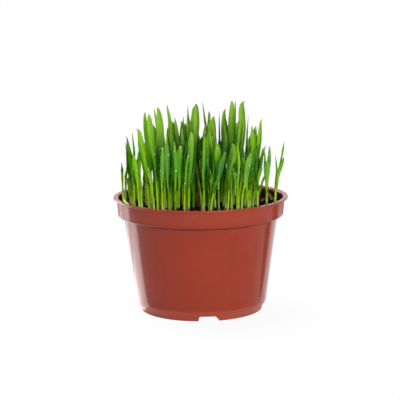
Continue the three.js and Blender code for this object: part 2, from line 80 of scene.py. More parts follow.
# %% Numbers
class Chance:
    """Park and Miller's generator: the same seed always gives the same row of numbers."""

    def __init__(self, seed):
        self.seed = seed

    def __call__(self):
        self.seed = self.seed * 16807 % 2147483647
        return self.seed / 2147483647

    def between(self, low, high):
        return low + (high - low) * self()


def mix(a, b, share):
    return a + (b - a) * share


def clamp(value):
    return min(1.0, max(0.0, value))


def ease(value):
    return clamp(value) ** 2 * (3 - 2 * clamp(value))


def easing(values):
    """ease() for a whole array."""
    values = np.clip(values, 0, 1)
    return values ** 2 * (3 - 2 * values)


def display(red, green, blue):
    """A colour as a screen shows it, 0 to 255 a channel, in the linear numbers that shaders take."""
    channels = [value / 255 for value in (red, green, blue)]
    linear = [c / 12.92 if c <= 0.04045 else ((c + 0.055) / 1.055) ** 2.4 for c in channels]
    return (*linear, 1.0)


trial = Chance(4127)
print("three numbers from seed 4127:", [round(trial(), 4) for _ in range(3)])

# %% [markdown]
# ## Shader maths as Python
# A material is a graph of nodes, and wiring each node by hand hides what it works out. Here a small
# class wraps a socket, so that `1 - mask * 0.3` adds the Math nodes by itself. Numbers go through
# Math nodes. Colours go through Mix nodes, because a Math node would turn a colour grey. Any other
# node comes from one method, `add`, which sets the node up first and then fills its sockets.

# %% Signals
class Signal:
    """One output of a shader node. Arithmetic on it adds Math nodes."""

    def __init__(self, finish, socket):
        self.finish = finish
        self.socket = socket

    def math(self, operation, *others, swapped=False):
        values = [self, *others]
        if swapped:
            values.reverse()
        return self.finish.add("ShaderNodeMath", {"operation": operation}, dict(enumerate(values)))

    def __add__(self, other):
        return self.math("ADD", other)

    def __sub__(self, other):
        return self.math("SUBTRACT", other)

    def __rsub__(self, other):
        return self.math("SUBTRACT", other, swapped=True)

    def __mul__(self, other):
        return self.math("MULTIPLY", other)

    __radd__ = __add__
    __rmul__ = __mul__

    def sine(self):
        return self.math("SINE")

    def absolute(self):
        return self.math("ABSOLUTE")

    def larger(self, other):
        return self.math("MAXIMUM", other)

    def smaller(self, other):
        return self.math("MINIMUM", other)

    def ramp(self, low, high):
        """0 below low, 1 above high, and a smooth rise between them."""
        settings = {"interpolation_type": "SMOOTHSTEP"}
        inputs = {"Value": self, "From Min": low, "From Max": high}
        return self.finish.add("ShaderNodeMapRange", settings, inputs)

# %% Finishes
class Finish:
    """A material under construction, or a world. The sizes given to it are in millimetres."""

    def __init__(self, name, kind="Material"):
        makers = {"Material": bpy.data.materials, "World": bpy.data.worlds}
        self.owner = makers[kind].new(name)
        self.owner.use_nodes = True
        self.tree = self.owner.node_tree
        self.tree.nodes.clear()
        self.out = self.tree.nodes.new(f"ShaderNodeOutput{kind}")

    def add(self, kind, settings=None, inputs=None, output=0):
        """A node of a kind, with its settings made first and its sockets set or linked after."""
        node = self.tree.nodes.new(kind)
        for key, value in (settings or {}).items():
            setattr(node, key, value)
        for key, value in (inputs or {}).items():
            if isinstance(value, Signal):
                self.tree.links.new(value.socket, node.inputs[key])
            else:
                node.inputs[key].default_value = value
        return Signal(self, node.outputs[output])

    def attribute(self, name):
        return self.add("ShaderNodeAttribute", {"attribute_name": name}, output="Fac")

    def place(self):
        """The position on the piece, in metres."""
        return self.add("ShaderNodeTexCoord", output="Object")

    def measure(self, operation, *vectors):
        """A number worked out from vectors, such as a length."""
        return self.add("ShaderNodeVectorMath", {"operation": operation}, dict(enumerate(vectors)), "Value")

    def height(self):
        return self.add("ShaderNodeSeparateXYZ", inputs={"Vector": self.place()}, output="Z")

    def above(self, low, high):
        """0 where the height is below low, 1 where it is above high, and a smooth rise between."""
        return self.height().ramp(low * MM, high * MM)

    def noise(self, where, size, detail=3.0, roughness=0.55):
        """Cloudy noise from 0 to 1, whose lumps are about `size` apart."""
        inputs = {"Vector": where, "Scale": 1 / (size * MM), "Detail": detail, "Roughness": roughness}
        return self.add("ShaderNodeTexNoise", inputs=inputs)

    def cells(self, where, size, output="Distance"):
        """Cells about `size` across: the distance from the middle of each, or its random colour."""
        inputs = {"Vector": where, "Scale": 1 / (size * MM)}
        return self.add("ShaderNodeTexVoronoi", inputs=inputs, output=output)

    def stretch(self, where, across, along):
        """A place squeezed along Z, so that noise read there comes out as upright streaks."""
        return self.add("ShaderNodeMapping", inputs={"Vector": where, "Scale": (across, across, along)})

    def blend(self, first, second, share):
        """Two colours mixed: all first at share 0, all second at share 1."""
        return self.add("ShaderNodeMix", {"data_type": "RGBA"}, {0: share, 6: first, 7: second}, output=2)

    def bump(self, height, depth, strength):
        inputs = {"Height": height, "Distance": depth * MM, "Strength": strength}
        return self.add("ShaderNodeBump", inputs=inputs)

    def surface(self, **sockets):
        """The Principled shader. An underscore in a name stands for a space."""
        inputs = {name.replace("_", " "): value for name, value in sockets.items()}
        return self.add("ShaderNodeBsdfPrincipled", inputs=inputs)

    def done(self, shader):
        self.tree.links.new(shader.socket, self.out.inputs["Surface"])
        print("finish", self.owner.name, "with", len(self.tree.nodes), "nodes")
        return self.owner

# %% [markdown]
# ## From arrays to pieces
# Grass is many thin strips, so its meshes are built as arrays of points: quicker than adding one
# vertex at a time, and each point can carry numbers of its own, such as how far up its blade it is.
# The materials read those numbers as attributes, and so a leaf's colour follows the leaf, however it
# bends. A `Patch` gathers the strips of one piece before they become one mesh.

# %% Patches and pieces
class Patch:
    """Points in millimetres, faces, and the numbers that each point carries, before they are a mesh."""

    def __init__(self, *fields):
        self.points = []
        self.faces = []
        self.values = {name: [] for name in fields}
        self.count = 0

    def add(self, points, faces, **values):
        points = np.asarray(points, float).reshape(-1, 3)
        self.points.append(points)
        self.faces += [[corner + self.count for corner in face] for face in faces]
        for name, gathered in self.values.items():
            gathered.append(np.broadcast_to(np.asarray(values.get(name, 0.0), float).ravel(), len(points)))
        self.count += len(points)

    def object(self, name, material, smooth_below=None):
        """The mesh object. Edges sharper than smooth_below degrees stay sharp."""
        mesh = bpy.data.meshes.new(name)
        mesh.from_pydata(np.concatenate(self.points) * MM, [], self.faces)
        for field, gathered in self.values.items():
            made = mesh.attributes.new(field, "FLOAT", "POINT")
            made.data.foreach_set("value", np.concatenate(gathered).astype(np.float32))
        mesh.shade_smooth()
        if smooth_below is not None:
            mesh.set_sharp_from_angle(angle=math.radians(smooth_below))
        mesh.materials.append(material)
        piece = bpy.data.objects.new(name, mesh)
        bpy.context.scene.collection.objects.link(piece)
        return piece


def unit(vectors):
    """Vectors of any lengths, brought to length 1."""
    return vectors / np.linalg.norm(vectors, axis=-1, keepdims=True)


def tube_faces(rows, around, open_ends=False):
    """Quads between rows of `around` points each, and a face over each end."""
    faces = []
    for row in range(rows - 1):
        for k in range(around):
            a, b = row * around + k, row * around + (k + 1) % around
            faces.append([a, b, b + around, a + around])
    if not open_ends:
        faces.append(list(range(around))[::-1])
        faces.append(list(range((rows - 1) * around, rows * around)))
    return faces


TRIANGLES = []  # of each piece in turn


def placed(piece, replaces=()):
    """Hands a finished piece to the frame: it rides on the pot's body, and may stand for CAD nodes."""
    TRIANGLES.append(sum(len(face.vertices) - 2 for face in piece.data.polygons))
    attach(piece, "root")
    if replaces:
        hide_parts(*replaces)
    return piece

# %% [markdown]
# ## The camera
# The pot is seen from a little above its rim, through a long lens that hardly narrows it towards the
# foot. Small things are mostly shown so, from far away, because it keeps their proportions true. The
# camera is rolled by half a degree, as a tripod is that was set by hand.

# %% Camera
CAMERA_DISTANCE = 1.140
CAMERA_RISE = math.radians(10.17)  # above the level
CAMERA_ROLL = math.radians(-0.55)
AIM = Vector((0, 0, 0.0754))
LENS = 149.04  # mm, on a sensor 36 mm wide
FRAME_SHIFT = -0.0016  # of the frame's width

lens = bpy.data.cameras.new("camera")
lens.lens = LENS
lens.sensor_width = 36
lens.shift_x = FRAME_SHIFT
lens.clip_start = 0.01
camera = bpy.data.objects.new("camera", lens)
bpy.context.scene.collection.objects.link(camera)
offset = Vector((0, -math.cos(CAMERA_RISE), math.sin(CAMERA_RISE))) * CAMERA_DISTANCE
tilt = Matrix.Rotation(math.pi / 2 - CAMERA_RISE, 4, "X")
camera.matrix_world = Matrix.Translation(AIM + offset) @ tilt @ Matrix.Rotation(CAMERA_ROLL, 4, "Z")
bpy.context.scene.camera = camera
bpy.context.scene.view_settings.view_transform = "Standard"
looking_down = round(math.degrees(CAMERA_RISE), 1)
print("camera", round(CAMERA_DISTANCE / MM), "mm away, looking down by", looking_down, "degrees")

# %% [markdown]
# ## Floor and light
# The pot stands on a white table in a white studio. The camera, clear things and mirrors see the
# surroundings as plain white, which the world and the floor say with Light Path, so no lamp has to be
# turned up for it. The floor mixes that white with its own lit surface, so that the pot's soft shadow
# stays, and far out it is grey to a mirror.
#
# A big soft lamp stands at the front right, so the pot grows darker towards the left. One hangs above,
# and one at the back left shines through the blades. The bright line along the pot's left edge is the
# table behind it, mirrored in the plastic at a flat angle. Glowing strips that lie on the table there
# give it, each dimmer than the one before. A single dim strip does the right side, and a black wedge
# in front of that draws the dark line beside it. The camera and matt surfaces see neither the strips
# nor the wedge.

# %% Floor
FLOOR_SIZE = 6.0
FLOOR_WHITE = 0.93  # how much of what the camera sees of the floor is plain white, near the pot
SHADOW_REACH = (0.05, 0.16)  # metres from the axis between which the floor turns all white
SHEET_EDGE = (0.20, 0.32)  # metres from the axis over which the white sheet gives way to grey
RIGHT_START = (0.0478, -0.0178)  # where the right strip and the wedge begin
RIGHT_HEADING = -136.9  # of the line between them, in degrees from the camera's side
WEDGE_HEADING = -116.0  # of the wedge's other side
WEDGE_DARKNESS = 0.93


def beside(finish, heading, side):
    """How far the floor lies to one side of a line that leaves RIGHT_START along a heading."""
    angle = math.radians(heading)
    across = (-math.cos(angle) * side, math.sin(angle) * side, 0)
    return finish.measure("DOT_PRODUCT", finish.place(), across) - np.dot(across[:2], RIGHT_START)


def ray(finish, kind):
    """1 where a ray of a kind sees the surface."""
    return finish.add("ShaderNodeLightPath", output=f"Is {kind} Ray")


def make_floor():
    finish = Finish("white_table")
    away = finish.measure("LENGTH", finish.place())
    far = away.ramp(*SHEET_EDGE)
    sheet = finish.blend((0.86, 0.86, 0.87, 1), (0.25, 0.25, 0.25, 1), far)
    wedge = beside(finish, RIGHT_HEADING, 1).ramp(0, 0.001) * beside(finish, WEDGE_HEADING, -1).ramp(0, 0.008)
    wedge = wedge * WEDGE_DARKNESS
    mirrored = ray(finish, "Glossy")
    colour = finish.blend(sheet, (0.01, 0.01, 0.01, 1), wedge * mirrored)
    table = finish.surface(Base_Color=colour, Roughness=0.6)
    glow = finish.add("ShaderNodeEmission", inputs={"Color": (1, 1, 1, 1), "Strength": 1.0})
    seen = ray(finish, "Camera") * (FLOOR_WHITE + (1 - FLOOR_WHITE) * away.ramp(*SHADOW_REACH))
    white = (seen + ray(finish, "Transmission") + mirrored * (1 - far) * (1 - wedge)).smaller(1)
    mixed = finish.add("ShaderNodeMixShader", inputs={0: white, 1: table, 2: glow})
    half = FLOOR_SIZE / 2 / MM
    patch = Patch()
    patch.add([(-half, -half, 0), (half, -half, 0), (half, half, 0), (-half, half, 0)], [[0, 1, 2, 3]])
    return patch.object("floor", finish.done(mixed))


make_floor()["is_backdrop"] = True

# %% World
AMBIENT = 0.2  # how brightly the surroundings light the pot


def make_world():
    studio = Finish("studio", "World")
    white = ray(studio, "Camera").larger(ray(studio, "Transmission")).larger(ray(studio, "Glossy"))
    strength = white * (1 - AMBIENT) + AMBIENT
    glow = studio.add("ShaderNodeBackground", inputs={"Color": (1, 1, 1, 1), "Strength": strength})
    bpy.context.scene.world = studio.done(glow)


make_world()

# %% Lamps and strips
STRIP_LEVEL = 0.0015  # metres above the table
STRIP_LENGTH = 0.5
LEFT_START = (-0.0444, -0.0243)
LEFT_HEADING = 118.5
LEFT_STRIPS = [[0.025, 2.9], [0.035, 2.2], [0.11, 0.75]]  # metres deep and brightness, white being 1
RIGHT_STRIPS = [[0.10, 0.22]]


def make_lamp(name, place, target, width, height, power, tint=(1, 1, 1)):
    """A rectangular soft lamp at a place, turned towards a target."""
    light = bpy.data.lights.new(name, "AREA")
    light.shape = "RECTANGLE"
    light.size = width
    light.size_y = height
    light.energy = power
    light.color = tint
    lamp = bpy.data.objects.new(name, light)
    bpy.context.scene.collection.objects.link(lamp)
    direction = Vector(target) - Vector(place)
    turn = direction.to_track_quat("-Z", "Y").to_matrix().to_4x4()
    lamp.matrix_world = Matrix.Translation(place) @ turn
    lamp.visible_camera = False
    return lamp


def make_strips(name, start, heading, strips, tint):
    """Glowing strips, one behind the other, that lie face up behind a line that leaves `start` along a
    heading in degrees from the camera's side, positive to the left."""
    angle = math.radians(heading)
    along = Vector((-math.sin(angle), -math.cos(angle), 0))
    across = Vector((along.y, -along.x, 0))
    behind = across if heading > 0 else -across
    turn = Matrix((along, across, (0, 0, -1))).transposed().to_4x4()
    edge = Vector((*start, STRIP_LEVEL))
    for depth, brightness in strips:
        centre = edge + along * STRIP_LENGTH / 2 + behind * depth / 2
        power = brightness * math.pi * STRIP_LENGTH * depth
        strip = make_lamp(name, centre, centre + Vector((0, 0, 1)), STRIP_LENGTH, depth, power, tint)
        strip.matrix_world = Matrix.Translation(centre) @ turn
        strip.visible_diffuse = False
        edge = edge + behind * depth


make_strips("left_card", LEFT_START, LEFT_HEADING, LEFT_STRIPS, (0.98, 0.95, 0.93))
make_strips("right_card", RIGHT_START, RIGHT_HEADING, RIGHT_STRIPS, (1.0, 0.99, 0.98))
make_lamp("key_softbox", (0.55, -1.12, 0.36), (0, 0, 0.08), 0.7, 0.6, 13.4)
make_lamp("top_softbox", (-0.1, 0.2, 1.1), (0, 0, 0.12), 0.8, 0.6, 7)
make_lamp("back_softbox", (-0.85, 0.85, 0.5), (0, 0, 0.12), 0.8, 0.8, 20)

# %% [markdown]
# ## The pot
# The real pot is injection-moulded polypropylene about a millimetre thick: a tapering body, a stepped
# collar that lets pots stack, a thin rolled-out lip, and a foot ring with notches for the water. The
# CAD pot has the same sizes but 60 flat sides. A turned shape is best made by spinning its outline, so
# the outline is given once, its corners are rounded by short curves, and it is spun in fine steps. The
# notches and drain holes go through it, and a Boolean modifier cuts them as a mould's cores would.

# %% Pot sizes, in millimetres
_, rim_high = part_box("pot")
RIM_RADIUS = rim_high.x / MM
POT_HEIGHT = rim_high.z / MM
LIP_THICKNESS = 1.2
WALL = 1.1
COLLAR_TOP_RADIUS = 57.7
COLLAR_FOOT_RADIUS = 56.8
COLLAR_HEIGHT = 12.6
BODY_TOP_RADIUS = 52.8
BODY_FOOT_RADIUS = 45
FOOT_RADIUS = 42
FOOT_RING_HEIGHT = 2.6  # above it the outside widens to the body
FOOT_HEIGHT = 6.6  # where the body begins
FLOOR_UNDERSIDE = 5.6
NOTCH_COUNT = 4
NOTCH_HEIGHT = 3.5
NOTCH_WIDTH_BELOW = 14.6
NOTCH_WIDTH_ABOVE = 11
FIRST_NOTCH = math.radians(-83.4)
CORE_REACH = 6  # how far a notch's core stands out on both sides of the foot
HOLE_COUNT = 6
HOLE_RADIUS = 4
HOLE_RING_RADIUS = 31
HOLE_SIDES = 32
POT_SIDES = 200
SOIL_DROP = 3

ledge_height = POT_HEIGHT - COLLAR_HEIGHT
floor_top = FLOOR_UNDERSIDE + WALL
soil_top = POT_HEIGHT - SOIL_DROP
print("rim", round(2 * RIM_RADIUS, 2), "mm across,", round(POT_HEIGHT, 2), "mm high, soil at", soil_top)

# %% Pot outline
def rounded(corners, steps=4):
    """An outline whose corners [radius, height, rounding] are cut off by short curves."""
    outline = []
    for i, (*corner, rounding) in enumerate(corners):
        corner = np.array(corner, float)
        if rounding == 0 or i in (0, len(corners) - 1):
            outline.append(corner)
            continue
        ends = []
        for neighbour in (corners[i - 1], corners[i + 1]):
            side = np.array(neighbour[:2], float) - corner
            length = np.linalg.norm(side)
            ends.append(corner + side * min(rounding, 0.45 * length) / length)
        for t in np.linspace(0, 1, steps + 1):
            outline.append((1 - t) ** 2 * ends[0] + 2 * t * (1 - t) * corner + t ** 2 * ends[1])
    return np.array(outline)


def pot_outline():
    lip_under = POT_HEIGHT - LIP_THICKNESS
    inner_top = COLLAR_TOP_RADIUS - WALL
    inner_foot = COLLAR_FOOT_RADIUS - WALL
    return rounded([
        (0, FLOOR_UNDERSIDE, 0),
        (FOOT_RADIUS - WALL, FLOOR_UNDERSIDE, 0.8),
        (FOOT_RADIUS - WALL - 0.2, 0, 0.25),
        (FOOT_RADIUS - 0.1, 0, 0.35),
        (FOOT_RADIUS + 0.5, FOOT_RING_HEIGHT, 1.0),
        (BODY_FOOT_RADIUS - 0.9, mix(FOOT_RING_HEIGHT, FOOT_HEIGHT, 0.55), 1.4),
        (BODY_FOOT_RADIUS, FOOT_HEIGHT, 1.2),
        (BODY_TOP_RADIUS, ledge_height, 0.3),
        (COLLAR_FOOT_RADIUS, ledge_height, 0.7),
        (COLLAR_TOP_RADIUS, lip_under, 0.7),
        (RIM_RADIUS, lip_under + 0.1, 0.55),
        (RIM_RADIUS, POT_HEIGHT, 0.6),
        (inner_top, POT_HEIGHT, 0.7),
        (inner_foot, ledge_height + WALL, 0.8),
        (BODY_TOP_RADIUS - WALL, ledge_height + WALL, 0.6),
        (BODY_FOOT_RADIUS - WALL, floor_top, 2.0),
        (0, floor_top, 0),
    ])


print("pot outline:", len(pot_outline()), "points once its corners are rounded")

# %% Spinning and cutting
def spin(patch, outline, sides):
    """Spins an outline that starts and ends on the Z axis into a closed shell."""
    angles = np.arange(sides) * TURN / sides
    rows = outline[1:-1]
    points = [(r * np.cos(angles), r * np.sin(angles), np.full(sides, z)) for r, z in rows]
    points = np.array(points).transpose(0, 2, 1).reshape(-1, 3)
    ends = [(0, 0, outline[0][1]), (0, 0, outline[-1][1])]
    first, last = len(points), len(points) + 1
    top = (len(rows) - 1) * sides
    faces = tube_faces(len(rows), sides, open_ends=True)
    faces += [[first, (k + 1) % sides, k] for k in range(sides)]
    faces += [[last, top + k, top + (k + 1) % sides] for k in range(sides)]
    patch.add(np.vstack([points, ends]), faces)


def prism(patch, outline, low, high, place):
    """A closed prism over an outline, from low to high, moved by place(x, y, z)."""
    count = len(outline)
    points = [place(x, y, z) for z in (low, high) for x, y in outline]
    patch.add(points, tube_faces(2, count))


def make_cutters():
    """Cores for the notches, which are narrower above, and for the drain holes."""
    patch = Patch()
    below, above = NOTCH_WIDTH_BELOW / 2, NOTCH_WIDTH_ABOVE / 2
    notch = [
        (-below, -1), (below + 0.6, -1), (below, 0), (above - 0.6, NOTCH_HEIGHT - 0.5),
        (above - 1.4, NOTCH_HEIGHT), (-below + 1.6, NOTCH_HEIGHT), (-below + 0.8, NOTCH_HEIGHT - 0.5),
    ]
    for i in range(NOTCH_COUNT):
        angle = FIRST_NOTCH + i * TURN / NOTCH_COUNT
        c, s = math.cos(angle), math.sin(angle)
        prism(patch, notch, FOOT_RADIUS - CORE_REACH, FOOT_RADIUS + CORE_REACH,
              lambda x, y, r: (r * c - x * s, r * s + x * c, y))
    angles = np.arange(HOLE_SIDES) * TURN / HOLE_SIDES
    circle = [(HOLE_RADIUS * math.cos(a), HOLE_RADIUS * math.sin(a)) for a in angles]
    for i in range(HOLE_COUNT):
        angle = FIRST_NOTCH + (i + 0.5) * TURN / HOLE_COUNT
        x0, y0 = HOLE_RING_RADIUS * math.cos(angle), HOLE_RING_RADIUS * math.sin(angle)
        prism(patch, circle, FLOOR_UNDERSIDE - 2, floor_top + 1, lambda x, y, z: (x + x0, y + y0, z))
    return patch.object("cutters", None)


def cut(piece, cutters):
    """Takes the cutters out of a piece for good, and drops them."""
    modifier = piece.modifiers.new("cores", "BOOLEAN")
    modifier.object = cutters
    modifier.operation = "DIFFERENCE"
    modifier.solver = "EXACT"
    bpy.context.view_layer.update()
    evaluated = piece.evaluated_get(bpy.context.evaluated_depsgraph_get())
    whole = piece.data
    piece.data = bpy.data.meshes.new_from_object(evaluated)
    piece.modifiers.clear()
    bpy.data.objects.remove(cutters)
    bpy.data.meshes.remove(whole)

# %% [markdown]
# ## The pot's plastic
# Terracotta-coloured polypropylene is one colour right through, but it never looks quite even. The
# pigment clouds as the melt flows, and the surface has a faint orange skin that softens reflections.
# A used pot also carries a film of dust and a few scuffs. The collar wears more of the pale film,
# partly dust and partly painted light from above, and the foot is chalky pale, partly chalk and partly
# painted light thrown up by the white table. Under the collar's ledge a dark band is painted shade,
# and the inner wall up to near the rim is painted dark as the shade inside the pot. All of these are
# worked out from the position on the pot, as gentle changes of one base colour and of the roughness.

# %% Plastic
LEDGE_SHADE_REACH = 2.0  # how far the painted shade under the ledge reaches down from it
INNER_SHADE_REACH = (2.4, 0.6)  # below the rim, where the painted shade on the inside fades out
INNER_RADIUS = COLLAR_TOP_RADIUS - WALL


def make_plastic():
    finish = Finish("terracotta_plastic")
    where = finish.place()
    clouds = finish.noise(where, 26, detail=2)
    flow = finish.noise(finish.stretch(where, 1.0, 0.16), 5, detail=3)
    grain = finish.noise(where, 0.9, detail=2)
    body = finish.blend(display(132, 41, 20), display(150, 50, 28), clouds * 0.65 + flow * 0.25 + grain * 0.1)

    dusty = finish.noise(where, 11, detail=6, roughness=0.65).ramp(0.56, 0.78)
    # Painted light: the collar gets more pale film, partly dust and partly painted light from above, and the
    # foot a chalky pale, partly chalk and partly painted light thrown up by the white table.
    collar_dust_and_light = finish.above(ledge_height, POT_HEIGHT).ramp(0, 0.2)
    foot_chalk_and_bounce = 1 - finish.above(FOOT_HEIGHT * 0.8, FOOT_HEIGHT * 1.3)
    dust_and_painted_light = (dusty * 0.5 + 0.5) * (collar_dust_and_light * 0.14 + foot_chalk_and_bounce * 0.5) + dusty * 0.06
    dusted_and_lit = finish.blend(body, display(200, 108, 88), dust_and_painted_light)

    speckle = 1 - finish.cells(where, 3.1).ramp(0.05, 0.11)
    scuffed = speckle * finish.noise(where, 17).ramp(0.5, 0.68)
    scraped = finish.blend(dusted_and_lit, display(205, 158, 142), scuffed * 0.30)

    # Painted shade: a dark band on the body just under the collar's ledge.
    corner = finish.above(ledge_height - LEDGE_SHADE_REACH, ledge_height - LEDGE_SHADE_REACH * 0.6)
    corner = corner * (1 - finish.above(ledge_height - 0.1, ledge_height))
    ledge_shaded = finish.blend(scraped, display(64, 20, 12), corner * 0.75)

    from_axis = finish.measure("LENGTH", finish.stretch(where, 1.0, 0.0))
    inside = 1 - from_axis.ramp((INNER_RADIUS - 0.3) * MM, (INNER_RADIUS + 0.1) * MM)
    inside = inside * finish.above(ledge_height + WALL - 0.5, ledge_height + WALL)
    # Painted shade: the inner wall is painted dark up to near the rim, with a ragged top edge.
    inner_shade = finish.height() + (clouds - 0.5) * 4 * MM
    inner_shade = 1 - inner_shade.ramp(*[(POT_HEIGHT - reach) * MM for reach in INNER_SHADE_REACH])
    inner_shaded = finish.blend(ledge_shaded, display(56, 26, 16), inside * inner_shade * 0.85)

    return finish.done(finish.surface(
        Base_Color=inner_shaded,
        Roughness=0.11 + dusty * 0.12 + grain * 0.04 + foot_chalk_and_bounce * 0.3 + inside * 0.3,
        IOR=1.49,
        Specular_IOR_Level=0.25,
        Normal=finish.bump(grain * 0.35 + flow * 0.65, 0.03, 0.5),
    ))


def make_pot():
    patch = Patch()
    spin(patch, pot_outline(), POT_SIDES)
    pot = patch.object("pot_shell", make_plastic())
    cut(pot, make_cutters())
    pot.data.set_sharp_from_angle(angle=math.radians(38))
    print("pot:", len(pot.data.polygons), "faces in a wall", WALL, "mm thick")
    return placed(pot, ["pot"])


make_pot()

# %% [markdown]
# ## The peat
# Peat is a loose, dark crumble: fine fibres, lumps of a millimetre or two, bits of bark. Its bed is a
# turned solid whose top is raised and lowered by the same swell as the CAD soil, with finer relief
# on it. The crumbs and fibres that catch the light are separate small lumps and strands strewn over
# it, since a bump alone would leave the surface flat against the pale stems.

# %% Soil shape
SOIL_ROUGHNESS = 0.6
CALM_FROM = 44  # radius from which the swell dies away
CALM_WIDTH = 10
BANK_RISE = 1.1  # how much higher the peat stands against the wall
BANK_FOOT = 48  # radius from which it rises
GAP = 0.3  # between the peat and the pot
LOOSE_RADIUS = 55.2  # how far out crumbs lie
BED_RINGS = 64
BED_SIDES = 150


def soil_height(x, y):
    """The mean level of the peat at a place, as in the CAD soil."""
    swell = math.sin(x * 0.21 + 1.3) * math.cos(y * 0.19 - 0.4)
    crumbs = math.sin(x * 0.33 - y * 0.27) * math.cos(y * 0.31 + x * 0.11)
    radius = math.hypot(x, y)
    calm = 1 - ease((radius - CALM_FROM) / CALM_WIDTH)
    bank = ease((radius - BANK_FOOT) / (COLLAR_TOP_RADIUS - WALL - BANK_FOOT))
    return soil_top + SOIL_ROUGHNESS * calm * (0.6 * swell + 0.4 * crumbs) + BANK_RISE * bank


def relief(x, y):
    """Fine ups and downs of the peat's surface, in millimetres."""
    waves = math.sin(1.7 * x + 0.6 * y) * math.sin(1.3 * y - 0.8 * x)
    finer = math.sin(3.9 * x - 2.1 * y + 1) * math.sin(3.3 * y + 1.9 * x)
    return 0.28 * waves + 0.14 * finer


def make_peat_bed(material):
    top = COLLAR_TOP_RADIUS - WALL - GAP - 0.3
    wall = [
        (0, floor_top + GAP), (BODY_FOOT_RADIUS - WALL - 2.1, floor_top + GAP),
        (BODY_FOOT_RADIUS - WALL - GAP, FOOT_HEIGHT + 2), (BODY_TOP_RADIUS - WALL - 0.8, ledge_height - 1),
        (BODY_TOP_RADIUS - WALL - 0.4, ledge_height + WALL + GAP),
        (COLLAR_FOOT_RADIUS - WALL - 1.2, ledge_height + WALL + GAP),
        (COLLAR_FOOT_RADIUS - WALL - 0.4, ledge_height + WALL + 1),
    ]
    rings = [(top * math.sqrt(share), soil_top) for share in np.linspace(1, 0, BED_RINGS)]
    patch = Patch()
    spin(patch, np.array(wall + rings), BED_SIDES)
    for point in patch.points[0]:
        x, y, z = point
        if z > soil_top - 0.01:
            edge = ease((top - math.hypot(x, y)) / 3)
            point[2] = soil_height(x, y) + relief(x, y) * edge
    bed = patch.object("peat_bed", material)
    return placed(bed, ["soil"])


levels = [round(soil_height(x, 0), 2) for x in (0, BANK_FOOT, LOOSE_RADIUS)]
print("peat level at the axis, at the foot of its bank and by the wall:", levels, "mm")

# %% Peat
def make_peat():
    finish = Finish("crumbly_peat")
    where = finish.place()
    lumps = finish.cells(where, 1.6)
    cell = finish.cells(where, 1.3, output="Color")
    tone = finish.add("ShaderNodeSeparateColor", inputs={"Color": cell}, output="Red")
    damp = finish.noise(where, 14, detail=4)
    fibre = finish.noise(where, 0.5, detail=4)
    dark = finish.blend(display(14, 7, 3), display(40, 22, 9), fibre)
    brown = finish.blend(dark, display(74, 42, 20), tone.ramp(0.55, 0.95) * 0.7)
    reddish = finish.blend(brown, display(96, 54, 32), tone.ramp(0.9, 0.97) * fibre)
    own = finish.attribute("tone")  # of each crumb and fibre
    picked = finish.blend(reddish, display(112, 74, 46), own.ramp(0.72, 1.0) * (fibre * 0.6 + 0.5))
    wet = finish.blend(picked, display(10, 5, 2), damp.ramp(0.35, 0.65) * 0.6)
    return finish.done(finish.surface(
        Base_Color=wet,
        Roughness=0.95 - damp.ramp(0.5, 0.75) * 0.35,
        Specular_IOR_Level=0.0,
        Normal=finish.bump(lumps * 0.6 + fibre * 0.4, 0.5, 0.8),
    ))


peat = make_peat()
bed = make_peat_bed(peat)
print("peat bed:", len(bed.data.polygons), "faces")

# %% Lumps and strands
def ball(subdivisions):
    """Points and faces of a unit ball of triangles."""
    mesh = bmesh.new()
    bmesh.ops.create_icosphere(mesh, subdivisions=subdivisions, radius=1)
    points = np.array([vertex.co[:] for vertex in mesh.verts])
    faces = [[vertex.index for vertex in face.verts] for face in mesh.faces]
    mesh.free()
    return points, faces


def turned(points, turn, tilt=0.0, roll=0.0):
    """Points rolled about Y, tilted about X and then turned about Z, in degrees."""
    matrix = Matrix.Identity(3)
    for angle, axis in ((turn, "Z"), (tilt, "X"), (roll, "Y")):
        matrix = matrix @ Matrix.Rotation(math.radians(angle), 3, axis)
    return points @ np.array(matrix).T


def any_way():
    """A direction picked by chance."""
    return unit(np.array([chance.between(-1, 1) for _ in range(3)]))


def lump(shape, radii, rough=0.16, squareness=1.0):
    """An irregular lump: a ball squared off, waved in a few directions, and broken flat on some sides."""
    points, faces = shape
    points = np.sign(points) * np.abs(points) ** squareness
    for _ in range(4):
        way = any_way()
        wave = np.sin(points @ way * chance.between(2.5, 6) + chance.between(0, TURN))
        points = points * (1 + rough / 2 * wave[:, None])
    for _ in range(3):
        way = any_way()
        over = np.maximum(points @ way - chance.between(0.6, 0.9), 0)
        points = points - over[:, None] * way * 0.9
    return points * np.array(radii), faces


def ring(centre, radius, angles, sideways, back):
    """Points round a centre, in the plane of two directions."""
    return centre + radius * (np.cos(angles)[:, None] * sideways + np.sin(angles)[:, None] * back)


def strand(patch, line, radius, around=6, **values):
    """A round thread along a line, which thins out at both ends."""
    line = np.asarray(line, float)
    tangent = unit(np.gradient(line, axis=0))
    sideways = unit(np.cross(tangent, [0.31, 0.17, 0.93]))
    back = np.cross(tangent, sideways)
    angles = np.arange(around) * TURN / around
    thin = radius * np.sqrt(np.sin(np.linspace(0.12, math.pi - 0.12, len(line))))
    rings = [ring(line[i], thin[i], angles, sideways[i], back[i]) for i in range(len(line))]
    patch.add(np.vstack(rings), tube_faces(len(line), around), **values)

# %% Crumbs and fibres
CRUMBS = 760
CRUMB_RADII = (0.35, 1.3)  # most are near the first
FIBRES = 120
FIBRE_LENGTHS = (2, 7)

chance = Chance(211)
SMALL_BALL, MIDDLE_BALL = ball(2), ball(3)


def random_place(radius):
    """A place on the peat, spread evenly over its area."""
    reach, angle = radius * math.sqrt(chance()), chance.between(0, TURN)
    return reach * math.cos(angle), reach * math.sin(angle)


